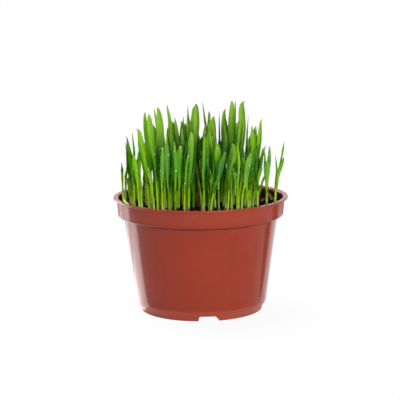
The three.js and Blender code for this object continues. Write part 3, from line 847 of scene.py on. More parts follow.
def make_crumbs():
    patch = Patch("tone")
    for _ in range(CRUMBS):
        x, y = random_place(LOOSE_RADIUS)
        size = mix(*CRUMB_RADII, chance() ** 2.5)
        radii = [size, size * chance.between(0.6, 0.9), size * chance.between(0.45, 0.8)]
        points, faces = lump(SMALL_BALL, radii, squareness=0.8)
        points = turned(points, chance.between(0, 360), chance.between(-30, 30), chance.between(-30, 30))
        patch.add(points + [x, y, soil_height(x, y) + size * chance.between(0, 0.45)], faces, tone=chance())
    return placed(patch.object("peat_crumbs", peat, 40))


def make_fibres():
    patch = Patch("tone")
    for _ in range(FIBRES):
        x, y = random_place(LOOSE_RADIUS - 3)
        heading, bend = chance.between(0, TURN), chance.between(-0.25, 0.25)
        length, lift = chance.between(*FIBRE_LENGTHS), chance.between(0.1, 0.9)
        line = []
        for step in np.linspace(-0.5, 0.5, 9):
            angle = heading + bend * step * 6
            px, py = x + length * step * math.cos(angle), y + length * step * math.sin(angle)
            line.append([px, py, soil_height(px, py) + 0.25 + lift * (1 - 3 * step * step)])
        strand(patch, line, chance.between(0.07, 0.16), tone=chance.between(0.5, 1))
    return placed(patch.object("peat_fibres", peat))


make_crumbs()
make_fibres()
print(CRUMBS, "crumbs and", FIBRES, "fibres:", sum(TRIANGLES[-2:]), "triangles")

# %% [markdown]
# ## How the oats grow
# Every blade has a place, a tip and a width, so the grass is a list of those and a few rules. Where
# they show, at the front and along the skyline, the plants are given one by one. Behind them they are
# sown along a spiral, and each shoot tries a few ways to grow until it stands clear of its
# neighbours. The CAD solids follow the same list and rules, so the fine leaves made here take their
# places. The rules below are the same as theirs, number for number.

# %% Growth rules, in millimetres and degrees
SHEATH_RADIUS = 0.85
SHEATH_SHARE = 0.32  # of its shortest blade's height
BLADE_FOOT = 0.8  # of the sheath's height, where its blades begin
LEAN_BOW = 1.5  # how late a shoot leans out: 1 is straight
PART_BOW = 1.35  # how late its blades part from each other
ROLLED_WIDTH = 1.1  # of a blade where it leaves the sheath
ROOT_OFFSET = 0.35
FOOT_LIFT = 0.55  # of a shoot's foot above the peat
WIDEST = 0.6  # share of a blade's height from which it tapers
CLEARANCE = 1.05  # between the blades of two plants
LEVELS = [2 + 4 * i for i in range(19)]  # heights at which two blades are tested
FALLEN_BOW = 0.1  # the first plant leans out low and then stands up

PLANT_COUNT = 51
SOWN_RADIUS = 51
SEED_SPACING = 7.5
SEED_JITTER = 1.5
SPIRAL_SPOTS = 48
GOLDEN_ANGLE = math.radians(137.508)
THIN_SIDE = 40  # few grains came up beyond this, on the right
HOLLOW = (-2, -33)  # none came up here, in front of the withered leaf
HOLLOW_RADIUS = 8
SHOOT_SPACING = 1.7
PAIRED = 0.7  # of the shoots try to carry two blades
SPREAD = 7  # how far a blade's tip strays from above its root
OUTWARD = 0.09  # how much the grass leans out, as a share of the distance from the middle
SISTER_LEVEL = 6  # below this level the shoots of one plant may lie together
TRIES = 16
CANOPY_HEIGHT = 60
CANOPY_RISE = 0.1  # per mm towards the front
SIDE_DROP = 0.4  # share of its height that the canopy loses towards both sides
FRONT_DROP = 0.18  # and to the front rim
FIRST_HEIGHTS = (0.84, 1)  # of a shoot's first blade, as a share of the canopy there
SECOND_HEIGHTS = (0.55, 0.85)
SOWN_WIDTHS = (2.6, 4.4)
THREEFOLD = 0.6  # of the sown plants try to have three shoots, the others two
EDGE_ROOM = 3  # from a sown blade's tip to the rim

chance = Chance(4127)

# %% Plants as lines
class Blade:
    """A blade's tip, its height, width and turn, and how much it twists on the way up."""

    def __init__(self, tip_x, tip_y, height, width, turn):
        self.tip = (tip_x, tip_y)
        self.height = height
        self.width = width
        self.turn = turn
        self.twist = chance.between(-30, 30)


class Shoot:
    """Blades in one sheath, which leans towards the middle of their tips. Heights are above its foot."""

    def __init__(self, root, blades, bow=LEAN_BOW):
        self.root = root
        self.blades = blades
        self.bow = bow
        self.aim = [sum(blade.tip[axis] for blade in blades) / len(blades) for axis in (0, 1)]
        self.height = sum(blade.height for blade in blades) / len(blades)
        self.split = SHEATH_SHARE * min(blade.height for blade in blades)

    def axis(self, height):
        lean = (height / self.height) ** self.bow
        return [mix(self.root[k], self.aim[k], lean) for k in (0, 1)]

    def centre(self, blade, rise):
        """A point of a blade's middle line, from a little below the sheath's top at 0 to the tip at 1."""
        height = mix(BLADE_FOOT * self.split, blade.height, rise)
        x, y = self.axis(height)
        end_x, end_y = self.axis(blade.height)
        away_x, away_y = blade.tip[0] - end_x, blade.tip[1] - end_y
        away = math.hypot(away_x, away_y) or 1
        share = rise ** PART_BOW + (ROOT_OFFSET / away) * (1 - rise)
        return [x + away_x * share, y + away_y * share, height]


def blade_width(blade, rise):
    swell = mix(ROLLED_WIDTH, blade.width, ease(rise / 0.5))
    return swell * math.sqrt(1 - clamp((rise - WIDEST) / (1 - WIDEST)) ** 2)


def blade_turn(blade, rise):
    return math.radians(blade.turn + blade.twist * rise)

# %% Room between blades
def cuts_of(shoot, blade):
    """A blade cut level by level: its middle, and half its width as a vector."""
    foot = BLADE_FOOT * shoot.split
    cuts = []
    for level in LEVELS:
        if level >= blade.height:
            break
        if level < shoot.split:
            cuts.append((*shoot.axis(level), SHEATH_RADIUS, 0))
            continue
        rise = (level - foot) / (blade.height - foot)
        x, y, _ = shoot.centre(blade, rise)
        half = 0.5 * blade_width(blade, rise)
        turn = blade_turn(blade, rise)
        cuts.append((x, y, half * math.cos(turn), half * math.sin(turn)))
    return cuts


def point_to_cut(x, y, cut):
    cx, cy, hx, hy = cut
    dx, dy = x - cx, y - cy
    length = hx * hx + hy * hy
    share = max(-1, min(1, (dx * hx + dy * hy) / length)) if length > 0 else 0
    return math.hypot(dx - share * hx, dy - share * hy)


def cuts_touch(a, b, room):
    reach = math.hypot(a[2], a[3]) + math.hypot(b[2], b[3]) + room
    if math.hypot(a[0] - b[0], a[1] - b[1]) > reach:
        return False
    cross = a[2] * b[3] - a[3] * b[2]
    dx, dy = b[0] - a[0], b[1] - a[1]
    if cross != 0:
        on_a = (dx * b[3] - dy * b[2]) / cross
        on_b = (dx * a[3] - dy * a[2]) / cross
        if abs(on_a) <= 1 and abs(on_b) <= 1:
            return True
    return min(
        point_to_cut(a[0] + a[2], a[1] + a[3], b), point_to_cut(a[0] - a[2], a[1] - a[3], b),
        point_to_cut(b[0] + b[2], b[1] + b[3], a), point_to_cut(b[0] - b[2], b[1] - b[3], a),
    ) < room


def stands_clear(cuts, others, first_level, room):
    for rows in cuts:
        for level, cut in enumerate(rows[first_level:], first_level):
            if any(level < len(other) and cuts_touch(cut, other[level], room) for other in others):
                return False
    return True

# %% The plants that show
# A plant is a list of shoots. A shoot is its root [x, y], then its blades: tip x, tip y, height above
# the soil, width and turn, the angle between the blade's width and the X axis.
SHOWN_PLANTS = [
    [[[-48.6, -23], [-53.8, -4, 26, 1.8, 20]]],
    [
      [[-47.3, -15], [-51.5, -13, 18, 1.8, 60]],
      [[-46.5, -12], [-50.6, -11, 41.6, 2.4, 30], [-49.5, -8, 45.5, 2.8, 10]],
    ],
    [[[-41, -33], [-44.4, -33, 35.4, 3.6, 10]], [[-39.5, -31], [-41.5, -27, 38, 3, 60]]],
    [[[-34.5, -34], [-41, -30, 53.4, 4, 15]], [[-33, -32], [-37, -24, 63.6, 3.4, 5]]],
    [[[-36, -20], [-36.6, -18, 51.8, 2.8, 40], [-42, -15, 45, 3, 10]]],
    [[[-28.5, -40], [-33.8, -33, 63.2, 4.2, 0]], [[-31, -39.5], [-35, -40, 29.4, 2.6, 30]]],
    [[[-25.5, -42], [-25, -42, 41.7, 3.2, 10]], [[-24, -40], [-22, -36, 51, 3, 40]]],
    [[[-21, -45], [-22, -42, 47.4, 3.2, 5]], [[-19.8, -43.5], [-19, -39, 35, 2.4, 60]]],
    [[[-16.5, -46], [-17, -42, 46.7, 3, 20]], [[-14.5, -44.5], [-13, -41, 43.3, 3.8, -5]]],
    [[[-11, -48], [-7.5, -46.5, 39, 3, 10]], [[-8, -47], [-5.5, -40, 52, 4.2, 0]]],
    [[[2, -47], [3.5, -41, 50, 3.4, -10]]],
    [
      [[6.7, -47], [16.8, -44, 39.6, 4, 20]],
      [[5.8, -45], [6.4, -44, 28.7, 1.8, 30], [9.5, -38, 41.6, 2.4, 60]],
    ],
    [[[12, -43], [11.5, -40, 44.4, 4, 5]]],
    [[[18, -45], [22.3, -39, 44.1, 4.2, -5]], [[20.5, -44], [19.5, -40, 34, 2.6, 70]]],
    [[[27, -43], [33.6, -38, 37.3, 4.4, 10]], [[25, -41.5], [24.5, -36, 45, 3, 20], [28, -37, 29, 2.4, 60]]],
    [[[35, -31], [42, -27, 29, 2.4, 40]], [[33, -32.5], [33, -31, 12, 1.6, 0]]],
    [[[44.3, -28], [42.6, -25, 39.2, 2.4, 30], [46.6, -26, 40.4, 2.8, 0], [44.5, -29.5, 30, 4.2, 5]]],
    [[[50.5, -16.5], [50.8, -14, 32.2, 1.6, 30], [57.2, -11, 41, 1.8, 40], [56.8, -15, 30.4, 3, 10]]],
    [[[-24, -20], [-31, -14, 64.8, 3, 10]], [[-22, -17.5], [-28.3, -9, 65, 4, 0]]],
    [[[-15, -4], [-22.7, 3, 65.4, 3.4, 15]], [[-13, -2], [-17.2, 6, 56.7, 3, 20]]],
    [[[-10, 10], [-11.7, 14, 56.3, 1.8, 30]]],
    [[[-12, -20], [-12.2, -14, 52, 3, 20], [-9, -16, 43, 3, 40]]],
    [[[-8, -8], [-8.3, -4, 66.3, 2.2, 40]], [[-5.5, -7], [-4.4, 2, 64.6, 3.4, 0]]],
    [[[-4.5, -18], [-2, -9, 67.3, 4.2, -10]], [[1, -14], [3.5, -10, 54, 3, 30]]],
    [[[7, 8], [2, 12, 66, 1.8, 30]], [[9, 6.5], [9.1, 1, 57.4, 4.2, 0]]],
    [[[6, -26], [7, -20, 64, 1.8, 40], [9, -23, 49, 3, 10]]],
    [[[13, 4], [13.2, 8, 58.8, 1.6, 30]], [[15, 2.5], [16.8, 4, 62, 3.6, 10]]],
    [[[20, -4], [22.2, 0, 67.8, 4.8, 0]], [[22, -2.5], [24.5, 8, 68.3, 1.6, 15]]],
    [[[27, -10], [28.8, -6, 68.8, 4.8, 0]], [[29, -8.5], [33.3, 3, 58.4, 1.8, 30]]],
    [[[34, -14], [35.2, -9, 52, 3.4, 15], [40, -14, 41, 3, 0]]],
    [[[38, -2], [41.6, 0, 55.4, 3.2, 0], [38.2, 3, 50.2, 3, 20]]],
    [[[-44.5, -27.5], [-45.3, -27, 50, 1.8, 20]]],
    [[[2.6, 10], [6, 5, 60.5, 2.2, 30]]],
]
print(len(SHOWN_PLANTS), "plants that show, with", sum(map(len, SHOWN_PLANTS)), "shoots")

# Where the grass parts, seen from the front and a little above: the x, half the width, and the
# height that leaves reach there. The line of sight sinks by SIGHT_SLOPE per mm towards the back.
PARTINGS = [
    [-53.4, 0.9, 6], [-43, 0.8, 34], [-40.4, 1, 16], [-37.3, 1, 47], [-31.3, 0.7, 53],
    [-22.9, 0.5, 49], [-15, 0.9, 47], [0.9, 1.2, 45], [13, 1.2, 44], [23.4, 0.5, 57],
    [32, 0.8, 44], [37, 0.7, 48], [42.5, 1.1, 36],
]
SIGHT_DISTANCE = 1140
SIGHT_SLOPE = 0.18
SIGHT_LEVEL_AT = -6  # the y for which the heights above are given

# %% Shown plants, partings and canopy
withered_shoot = Shoot([-1.6, -24], [Blade(-0.6, -22, 31, 2.6, 10)])


def shown_plant(shoots, index):
    bow = FALLEN_BOW if index == 0 else LEAN_BOW
    return [Shoot(root, [Blade(*row) for row in rows], bow) for root, *rows in shoots]


def fills_parting(cuts):
    """Whether a blade's cuts stand in a parting of the grass."""
    for level, (x, y, half_x, _) in zip(LEVELS, cuts):
        seen_at = x * (1 - y / SIGHT_DISTANCE)
        seen_height = level + SIGHT_SLOPE * (y - SIGHT_LEVEL_AT)
        if any(seen_height > height and abs(seen_at - middle) < half + abs(half_x)
               for middle, half, height in PARTINGS):
            return True
    return False


def canopy(x, y):
    """How tall the grass stands. It rises gently towards the front and drops near the sides and the rim."""
    sides = 1 - SIDE_DROP * ease((abs(x) - 20) / 32)
    front = 1 - FRONT_DROP * ease((-y - 22) / 24)
    return (CANOPY_HEIGHT - CANOPY_RISE * y) * sides * front

# %% Sowing
def grow_shoot(root, taken, own):
    """A shoot that stands clear of all blades taken and of its plant's own, with its cuts, or None."""
    for attempt in range(TRIES):
        count = 2 if chance() < PAIRED and attempt < TRIES / 2 else 1
        blades = []
        for i in range(count):
            direction = chance.between(0, TURN)
            reach = SPREAD * math.sqrt(chance())
            tip_x = root[0] * (1 + OUTWARD) + reach * math.cos(direction)
            tip_y = root[1] * (1 + OUTWARD) + reach * math.sin(direction)
            height = canopy(*root) * chance.between(*(FIRST_HEIGHTS if i == 0 else SECOND_HEIGHTS))
            width = chance.between(*SOWN_WIDTHS)
            turn = chance.between(-50, 50)
            blades.append(Blade(tip_x, tip_y, height, width, turn))
        shoot = Shoot(root, blades)
        cuts = [cuts_of(shoot, blade) for blade in blades]
        inside = all(math.hypot(*blade.tip) < RIM_RADIUS - EDGE_ROOM for blade in blades)
        fits = inside and not any(map(fills_parting, cuts))
        fits = fits and stands_clear(cuts, taken, 0, CLEARANCE)
        if fits and stands_clear(cuts, own, SISTER_LEVEL, CLEARANCE):
            return shoot, cuts
    return None


def seeded_plant(spot, taken):
    """What one grain grows: two or three shoots round it, as far as they find room."""
    shoots, own = [], []
    heading = chance.between(0, TURN)
    count = 3 if chance() < THREEFOLD else 2
    for i in range(count):
        angle = heading + i * TURN / count
        root = [spot[0] + SHOOT_SPACING * math.cos(angle), spot[1] + SHOOT_SPACING * math.sin(angle)]
        found = grow_shoot(root, taken, own)
        if found:
            shoots.append(found[0])
            own += found[1]
    return shoots, own


def is_bare(x, y):
    """Whether no grain came up at a place."""
    return x > THIN_SIDE or math.hypot(x - HOLLOW[0], y - HOLLOW[1]) < HOLLOW_RADIUS


def sow_plants():
    plants = [shown_plant(shoots, index) for index, shoots in enumerate(SHOWN_PLANTS)]
    standing = [shoot for plant in plants for shoot in plant] + [withered_shoot]
    taken = [cuts_of(shoot, blade) for shoot in standing for blade in shoot.blades]
    for i in range(SPIRAL_SPOTS):
        if len(plants) == PLANT_COUNT:
            break
        radius = SOWN_RADIUS * math.sqrt((i + 0.5) / SPIRAL_SPOTS)
        angle = i * GOLDEN_ANGLE
        x = radius * math.cos(angle) + chance.between(-SEED_JITTER, SEED_JITTER)
        y = radius * math.sin(angle) + chance.between(-SEED_JITTER, SEED_JITTER)
        roots = [shoot.root for plant in plants for shoot in plant]
        crowded = any(math.hypot(root[0] - x, root[1] - y) < SEED_SPACING for root in roots)
        if crowded or is_bare(x, y):
            continue
        shoots, own = seeded_plant([x, y], taken)
        if shoots:
            plants.append(shoots)
            taken += own
    return plants, taken


plants, taken = sow_plants()
PLANT_NODES = [f"oat_plant_{i + 1:02d}" for i in range(len(plants))]
print(len(plants), "plants with", sum(map(len, plants)), "shoots and", len(taken), "blades")

# %% [markdown]
# ## Thin young shoots
# Grains do not all wake on the same day. Between the full plants stand narrow first leaves that came
# up late, more of them towards the back, and they close the gaps. They are sown the same way and keep
# clear of every leaf that stands already. A generator of their own keeps the plants above unchanged.

# %% Young shoots
YOUNG_SPOTS = 1600
YOUNG_SPACING = 2.8
YOUNG_ROOM = 0.5  # between their blades and all others
YOUNG_RADIUS = 53
YOUNG_FRONT = -47  # none are sown nearer to the camera than this
YOUNG_MOST = 200
YOUNG_TRIES = 5
YOUNG_SPREAD = 6
YOUNG_OUTWARD = 0.07
YOUNG_EDGE_ROOM = 4
YOUNG_HEIGHTS = (0.42, 0.93)  # of the grass round them
YOUNG_WIDTHS = (1.5, 3.0)
YOUNG_GROUPS = 8  # pieces they are shared out to, by the way they stand from the axis

chance = Chance(77)


def young_shoot(x, y, standing):
    """A shoot with one narrow blade that stands clear, or None."""
    for _ in range(YOUNG_TRIES):
        direction = chance.between(0, TURN)
        reach = YOUNG_SPREAD * math.sqrt(chance())
        tip_x = x * (1 + YOUNG_OUTWARD) + reach * math.cos(direction)
        tip_y = y * (1 + YOUNG_OUTWARD) + reach * math.sin(direction)
        height = canopy(x, y) * chance.between(*YOUNG_HEIGHTS)
        blade = Blade(tip_x, tip_y, height, chance.between(*YOUNG_WIDTHS), chance.between(-60, 60))
        shoot = Shoot([x, y], [blade])
        cuts = [cuts_of(shoot, blade)]
        fits = math.hypot(tip_x, tip_y) < RIM_RADIUS - YOUNG_EDGE_ROOM and not fills_parting(cuts[0])
        if fits and stands_clear(cuts, standing, 0, YOUNG_ROOM):
            return shoot, cuts
    return None


def sow_young(standing):
    roots = [shoot.root for plant in plants for shoot in plant]
    shoots = []
    for _ in range(YOUNG_SPOTS):
        x, y = random_place(YOUNG_RADIUS)
        room = YOUNG_SPACING * (1.25 - 0.25 * y / YOUNG_RADIUS)
        crowded = any(math.hypot(root[0] - x, root[1] - y) < room for root in roots)
        if is_bare(x, y) or y < YOUNG_FRONT or crowded or len(shoots) == YOUNG_MOST:
            continue
        found = young_shoot(x, y, standing)
        if found:
            shoots.append(found[0])
            roots.append([x, y])
            standing += found[1]
    return shoots


young = sow_young(list(taken))
print(len(young), "young shoots")

# %% [markdown]
# ## The shape of a blade
# An oat blade leaves its sheath rolled up like a scroll, opens to a shallow gutter with a keel along
# its back, and flattens towards a tip that is blunt on a first leaf and drawn out on the next ones.
# Its cross-section is therefore an arc whose angle falls from well over half a turn to nearly flat.
# The arc is walked in short steps, and each section stands square to the blade's own middle line.
# The blade is a thin solid, thickest at the midrib, and its two skins meet at sharp margins.

# %% Blade sections
ROLL_AT_FOOT = math.radians(265)
KEEL_SHARE = 0.3  # of a section's bend that sits in the keel, once the blade has opened
MIDRIB_THICKNESS = 0.24
MARGIN_THICKNESS = 0.05


def sections(half_width, roll, keel, steps):
    """Points across each section, from margin to margin: offsets across and towards the back."""
    middle = (np.arange(steps) + 0.5) * 2 / steps - 1
    heading = roll[:, None] / 2 * (keel[:, None] * np.sign(middle) + (1 - keel[:, None]) * middle)
    zero = np.zeros((len(roll), 1))
    across = np.hstack([zero, np.cumsum(np.cos(heading), axis=1)])
    behind = np.hstack([zero, -np.cumsum(np.sin(heading), axis=1)])
    across -= across[:, [steps // 2]]
    behind -= (behind.max(axis=1, keepdims=True) + behind.min(axis=1, keepdims=True)) / 2
    scale = half_width[:, None] / np.abs(across).max(axis=1, keepdims=True)
    return across * scale, behind * scale


def section_normals(across, behind):
    """Unit normals, which point to the back, at the points of each section."""
    run_across, run_behind = np.gradient(across, axis=1), np.gradient(behind, axis=1)
    length = np.hypot(run_across, run_behind)
    return -run_behind / length, run_across / length


def leaf_faces(rows, steps):
    """Faces of a leaf whose rings are an outer skin of steps + 1 points, then an inner skin, and whose
    last point is the tip."""
    around = 2 * steps
    faces = [face[::-1] for face in tube_faces(rows, around, open_ends=True)]
    for k in range(steps):
        corners = [k, k + 1, around - k - 1, (around - k) % around]
        faces.append(list(dict.fromkeys(corners)))
    top, tip = (rows - 1) * around, rows * around
    faces += [[top + k, tip, top + (k + 1) % around] for k in range(around)]
    return faces

# %% A leaf from its middle line
FIELDS = ("rise", "across", "low", "tint", "dry", "bloom", "under", "paper")
FULL_HALF_WIDTH = 1.2  # a leaf is thinner where it is narrower than this


def grow_leaf(patch, line, across, half_width, roll, keel, steps, **looks):
    """One thin leaf along a middle line, whose last point is its tip."""
    tangent = unit(np.gradient(line, axis=0))
    sideways = across - (across * tangent).sum(axis=1, keepdims=True) * tangent
    shrink = np.linalg.norm(sideways, axis=1)
    sideways = sideways / shrink[:, None]
    back = np.cross(tangent, sideways)
    x, y = sections((half_width * shrink)[:-1], roll[:-1], keel[:-1], steps)
    normal_x, normal_y = section_normals(x, y)
    share = np.linspace(-1, 1, steps + 1)
    thick = MARGIN_THICKNESS + (MIDRIB_THICKNESS - MARGIN_THICKNESS) * (1 - share ** 2)
    thick = thick * np.clip(half_width[:-1, None] / FULL_HALF_WIDTH, 0.25, 1)
    inner = slice(-2, 0, -1)
    ring_x = np.hstack([x, (x - normal_x * thick)[:, inner]])
    ring_y = np.hstack([y, (y - normal_y * thick)[:, inner]])
    rings = line[:-1, None] + sideways[:-1, None] * ring_x[..., None] + back[:-1, None] * ring_y[..., None]
    rows, around = ring_x.shape
    points = np.vstack([rings.reshape(-1, 3), line[-1:]])
    ring_across = np.concatenate([share, share[inner]])
    ring_under = np.concatenate([[0.5], np.ones(steps - 1), [0.5], np.zeros(steps - 1)])
    values = {name: np.append(np.repeat(value[:-1], around), value[-1]) if np.ndim(value) else value
              for name, value in looks.items()}
    patch.add(points, leaf_faces(rows, steps), across=np.append(np.tile(ring_across, rows), 0),
              under=np.append(np.tile(ring_under, rows), 0.5), **values)

# %% Blades
NARROW = 2.3  # blades narrower than this are still half rolled, and dry at their tips
BLUNT_FROM = 0.74  # share of its height from which a broad blade narrows
POINTED_FROM = 0.55
TIP_WIDTHS = (2.6, 4.2)  # up to the first a tip is drawn out, from the second it is blunt
OPENS_BY = 0.45  # share of its height by which a blade has unrolled
NARROW_OPENS_BY = 0.75
FULL_WIDTH_FROM = 0.66
HOOKED_FROM = 0.93
HOOK_BACK = 0.4  # how far every tip bends back
HOOK_DROP = 0.15  # how much lower a tip ends, as a share of its hook
DRYING = 0.035  # share of its height over which a tip turns dry


def beyond(rise, start):
    """How far along the rest of a blade from start on, from 0 to 1."""
    return np.clip((rise - start) / (1 - start), 0, 1)


def tip_profile(rise, width):
    """Width towards the tip: blunt on the broad first leaves, drawn out on the narrow ones."""
    blunt = np.sqrt(1 - beyond(rise, BLUNT_FROM) ** 2)
    pointed = 1 - beyond(rise, POINTED_FROM) ** 2.4
    low, high = TIP_WIDTHS
    return blunt + (pointed - blunt) * (1 - easing((width - low) / (high - low))) * 0.9


def level_ways(turn):
    """Level directions across a blade and towards its back, for a row of turns."""
    across = np.stack([np.cos(turn), np.sin(turn), 0 * turn], axis=1)
    return across, np.cross([0, 0, 1], across)


def foot_height(root):
    """Where a shoot's own heights count from, a little above the peat."""
    return soil_height(*root) + FOOT_LIFT


def grow_blade(patch, shoot, blade, look):
    narrow = blade.width < NARROW
    rows, steps = (26, 6) if narrow else (34, 8)
    rise = 1 - (1 - np.linspace(0, 1, rows)) ** 1.5  # rows stand closer towards the tip
    line = np.array([shoot.centre(blade, value) for value in rise])
    across, back = level_ways(np.radians(blade.turn + blade.twist * rise))
    sway = look["sway"] * np.sin(rise * look["waves"] + look["phase"]) * np.sin(math.pi * rise)
    line += across * sway[:, None]
    hook = beyond(rise, HOOKED_FROM) ** 2
    line += (across * look["hook"] + back * HOOK_BACK) * hook[:, None]
    line[:, 2] -= hook * abs(look["hook"]) * HOOK_DROP
    low = line[:, 2].copy()
    line[:, 2] += foot_height(shoot.root)
    swell = mix(ROLLED_WIDTH, blade.width, np.clip(rise / FULL_WIDTH_FROM, 0, 1) ** 1.6)
    half_width = swell * tip_profile(rise, blade.width) / 2
    opened = easing(rise / (NARROW_OPENS_BY if narrow else OPENS_BY))
    ripple = 1 + 0.18 * np.sin(rise * 17 + look["phase"])
    roll = mix(ROLL_AT_FOOT, look["roll"] * ripple, opened)
    keel = KEEL_SHARE * opened * look["crease"]
    dry = easing((rise - look["dry_from"]) / DRYING)
    grow_leaf(patch, line, across, half_width, roll, keel, steps, rise=rise, low=low, dry=dry,
              tint=look["tint"], bloom=look["bloom"])

# %% Sheaths
SHEATH_AROUND = 12
SHEATH_ROWS = 12
SHEATH_WALL = 0.22
SHEATH_DEPTH = 1.6  # how far a shoot goes on below its foot, into the peat
FLARE_HEIGHT = 3.5  # over which a sheath's foot narrows to the stem


def grow_sheath(patch, shoot, top, radius, flare, slant, facing, **looks):
    """A thin-walled tube round a shoot's foot, open above with a slanting mouth."""
    heights = np.concatenate([[-SHEATH_DEPTH, -0.5], top * np.linspace(0.02, 1, SHEATH_ROWS) ** 1.4])
    line = np.array([[*shoot.axis(max(height, 0)), height] for height in heights])
    low = line[:, 2].copy()
    line[:, 2] += foot_height(shoot.root)
    tangent = unit(np.gradient(line, axis=0))
    sideways = unit(np.cross(np.cross(tangent, [math.cos(facing), math.sin(facing), 0]), tangent))
    back = np.cross(tangent, sideways)
    last = len(heights) - 1
    order = [*range(last + 1), last, last - 1, last - 2]  # up the outside, then down into the mouth
    slanted = {last: 1.0, last - 1: 0.4}  # how far a row follows the mouth
    angles = np.arange(SHEATH_AROUND) * TURN / SHEATH_AROUND
    bulge = 1 + flare * np.exp(-low / FLARE_HEIGHT)
    rings = []
    for place, row in enumerate(order):
        wide = radius * bulge[row] - (SHEATH_WALL if place > last else 0)
        lift = slant * slanted.get(row, 0) * np.cos(angles)[:, None] * tangent[row]
        rings.append(ring(line[row], wide, angles, sideways[row], back[row]) + lift)
    faces = tube_faces(len(order), SHEATH_AROUND)
    patch.add(np.vstack(rings), faces, low=np.repeat(low[order], SHEATH_AROUND),
              across=np.tile(np.cos(angles), len(order)), under=1.0, **looks)

# %% [markdown]
# ## The looks of a leaf
# A young oat leaf lets light through, so it glows yellow-green where the light is behind it and goes
# deep green where leaves stack up. A Principled surface mixed with a Translucent one does that. The
# colour follows the numbers each leaf carries. The foot is nearly white, then yellowish, because no
# light reached it below the other leaves, and it is painted darker on the shoots in the middle, as
# painted shade. The blade above is full green, more or less yellow from plant to plant and mottled
# from place to place. The plants in the middle are painted deeper green, as painted shade, and those
# towards the sides yellower, most on the left, as painted light. One half beside the keel is painted
# lighter than the other, as painted light and shade on a folded blade. The tips and the tops of the
# grass are painted brightest, as painted light. Some blades wear a blue-grey wax bloom, stronger on
# the back, and narrow tips dry out to a pinkish brown. Fine veins run along every blade on both sides
# of a paler midrib.

# %% Leaf finish
TOPS = (109, 132)  # heights between which the grass is painted bright, as painted light on the tops
YELLOW_UP_TO = (5, 26)  # heights above a shoot's foot between which yellow gives way to green
PALE_UP_TO = (-2, 5.5)
GLOW = display(144, 196, 16)  # the light that comes through


def make_leaf():
    finish = Finish("young_leaf")
    where = finish.place()
    rise, across, low, tint, dry, bloom, under, paper = map(finish.attribute, FIELDS)
    cloud = finish.noise(where, 7, detail=3)
    streak = finish.noise(finish.stretch(where, 1.0, 0.08), 0.9, detail=2)
    mottle = finish.noise(where, 2.2, detail=2)
    veins = (across * 24).sine() * 0.5 + 0.5
    midrib = 1 - across.absolute().ramp(0.04, 0.26)
    # Painted light and shade: one half beside the keel is painted lighter, the other darker.
    painted_half_light = (across.ramp(-0.12, 0.12) - 0.5) * (tint * 40).sine()
    tone = tint + (cloud - 0.5) * 0.4 + (streak - 0.5) * 0.4 + (mottle - 0.5) * 0.5 + painted_half_light * 0.7

    deep = finish.blend(display(28, 82, 2), display(80, 162, 8), tone.ramp(0.15, 0.65))
    green = finish.blend(deep, display(148, 202, 22), tone.ramp(0.6, 1.15))
    veined = finish.blend(green, display(142, 204, 50), veins * 0.1 + midrib * 0.3)
    waxy = bloom * (under * 0.4 + 0.45) * (cloud * 0.5 + 0.75)
    waxed = finish.blend(veined, display(84, 148, 86), waxy)
    # Painted light: the tips, and all of the grass above TOPS, are painted brighter.
    painted_top_light = rise.ramp(0.6, 1.0) * 0.15 + finish.above(*TOPS) * 0.6
    lit = finish.blend(waxed, display(162, 208, 62), painted_top_light)

    risen = low + (cloud - 0.5) * 6
    fresh = finish.blend(display(62, 130, 2), display(180, 226, 38), tone.ramp(0.1, 0.8))
    yellow = finish.blend(fresh, lit, risen.ramp(*YELLOW_UP_TO))
    # Painted shade: the foot goes darker on the darker-toned shoots of the middle.
    foot = finish.blend(display(104, 124, 40), display(232, 242, 152), tone.ramp(0.2, 0.7))
    pale = finish.blend(foot, yellow, risen.ramp(*PALE_UP_TO))
    husky = finish.blend(pale, display(224, 220, 140), paper * (streak * 0.4 + 0.2))
    dried = finish.blend(husky, display(132, 102, 72), dry * (streak * 0.4 + 0.7).smaller(1))

    skin = finish.surface(
        Base_Color=dried,
        Roughness=0.36 + cloud * 0.16 + bloom * 0.12,
        Specular_IOR_Level=0.12,
        Normal=finish.bump(veins * 0.6 + streak * 0.4, 0.05, 0.5),
    )
    through = finish.add("ShaderNodeBsdfTranslucent", inputs={"Color": GLOW})
    share = (tone.ramp(0.0, 0.9) * 0.1 + 0.21) * (1 - dry) * (1 - paper * 0.4)
    return finish.done(finish.add("ShaderNodeMixShader", inputs={0: share, 1: skin, 2: through}))


leaf = make_leaf()

# %% Growing the grass
SMOOTH_BELOW = 65  # degrees: the margins of a blade are sharper than this and stay crisp
STEM_RADIUS = 0.74
STEM_FLARE = 0.2
BLOOMING = 0.22  # of the blades wear a bloom of wax
SLEEVED = 0.2  # of the shoots still wear the papery sleeve they broke the soil in
SLEEVE_ROOM = 0.14
SHADED_RADIUS = 24  # up to here a shoot is painted deepest green, as painted shade of the others
SHADE_WIDTH = 22
FLANK_FROM = 18  # the distance to one side from which the grass is painted lighter and yellower, as painted light
FLANK_WIDTH = 20
LEFT_SIDE_LIGHT = 0.7  # how much lighter and yellower it is painted
RIGHT_SIDE_LIGHT = 0.28

chance = Chance(501)


def leaf_look(blade):
    """The chance-made numbers of one blade."""
    narrow = blade.width < NARROW
    return {
        "tint": chance.between(0.0, 1.0),
        "bloom": chance.between(0.5, 1) if chance() < BLOOMING else chance.between(0, 0.15),
        "roll": math.radians(chance.between(110, 170) if narrow else chance.between(45, 105)),
        "crease": chance.between(0.8, 1.9),
        "sway": chance.between(-1.1, 1.1),
        "waves": chance.between(3, 7),
        "phase": chance.between(0, TURN),
        "hook": chance.between(-1.6, 1.6),
        "dry_from": 0.89 if narrow else chance.between(0.955, 1.0),
    }


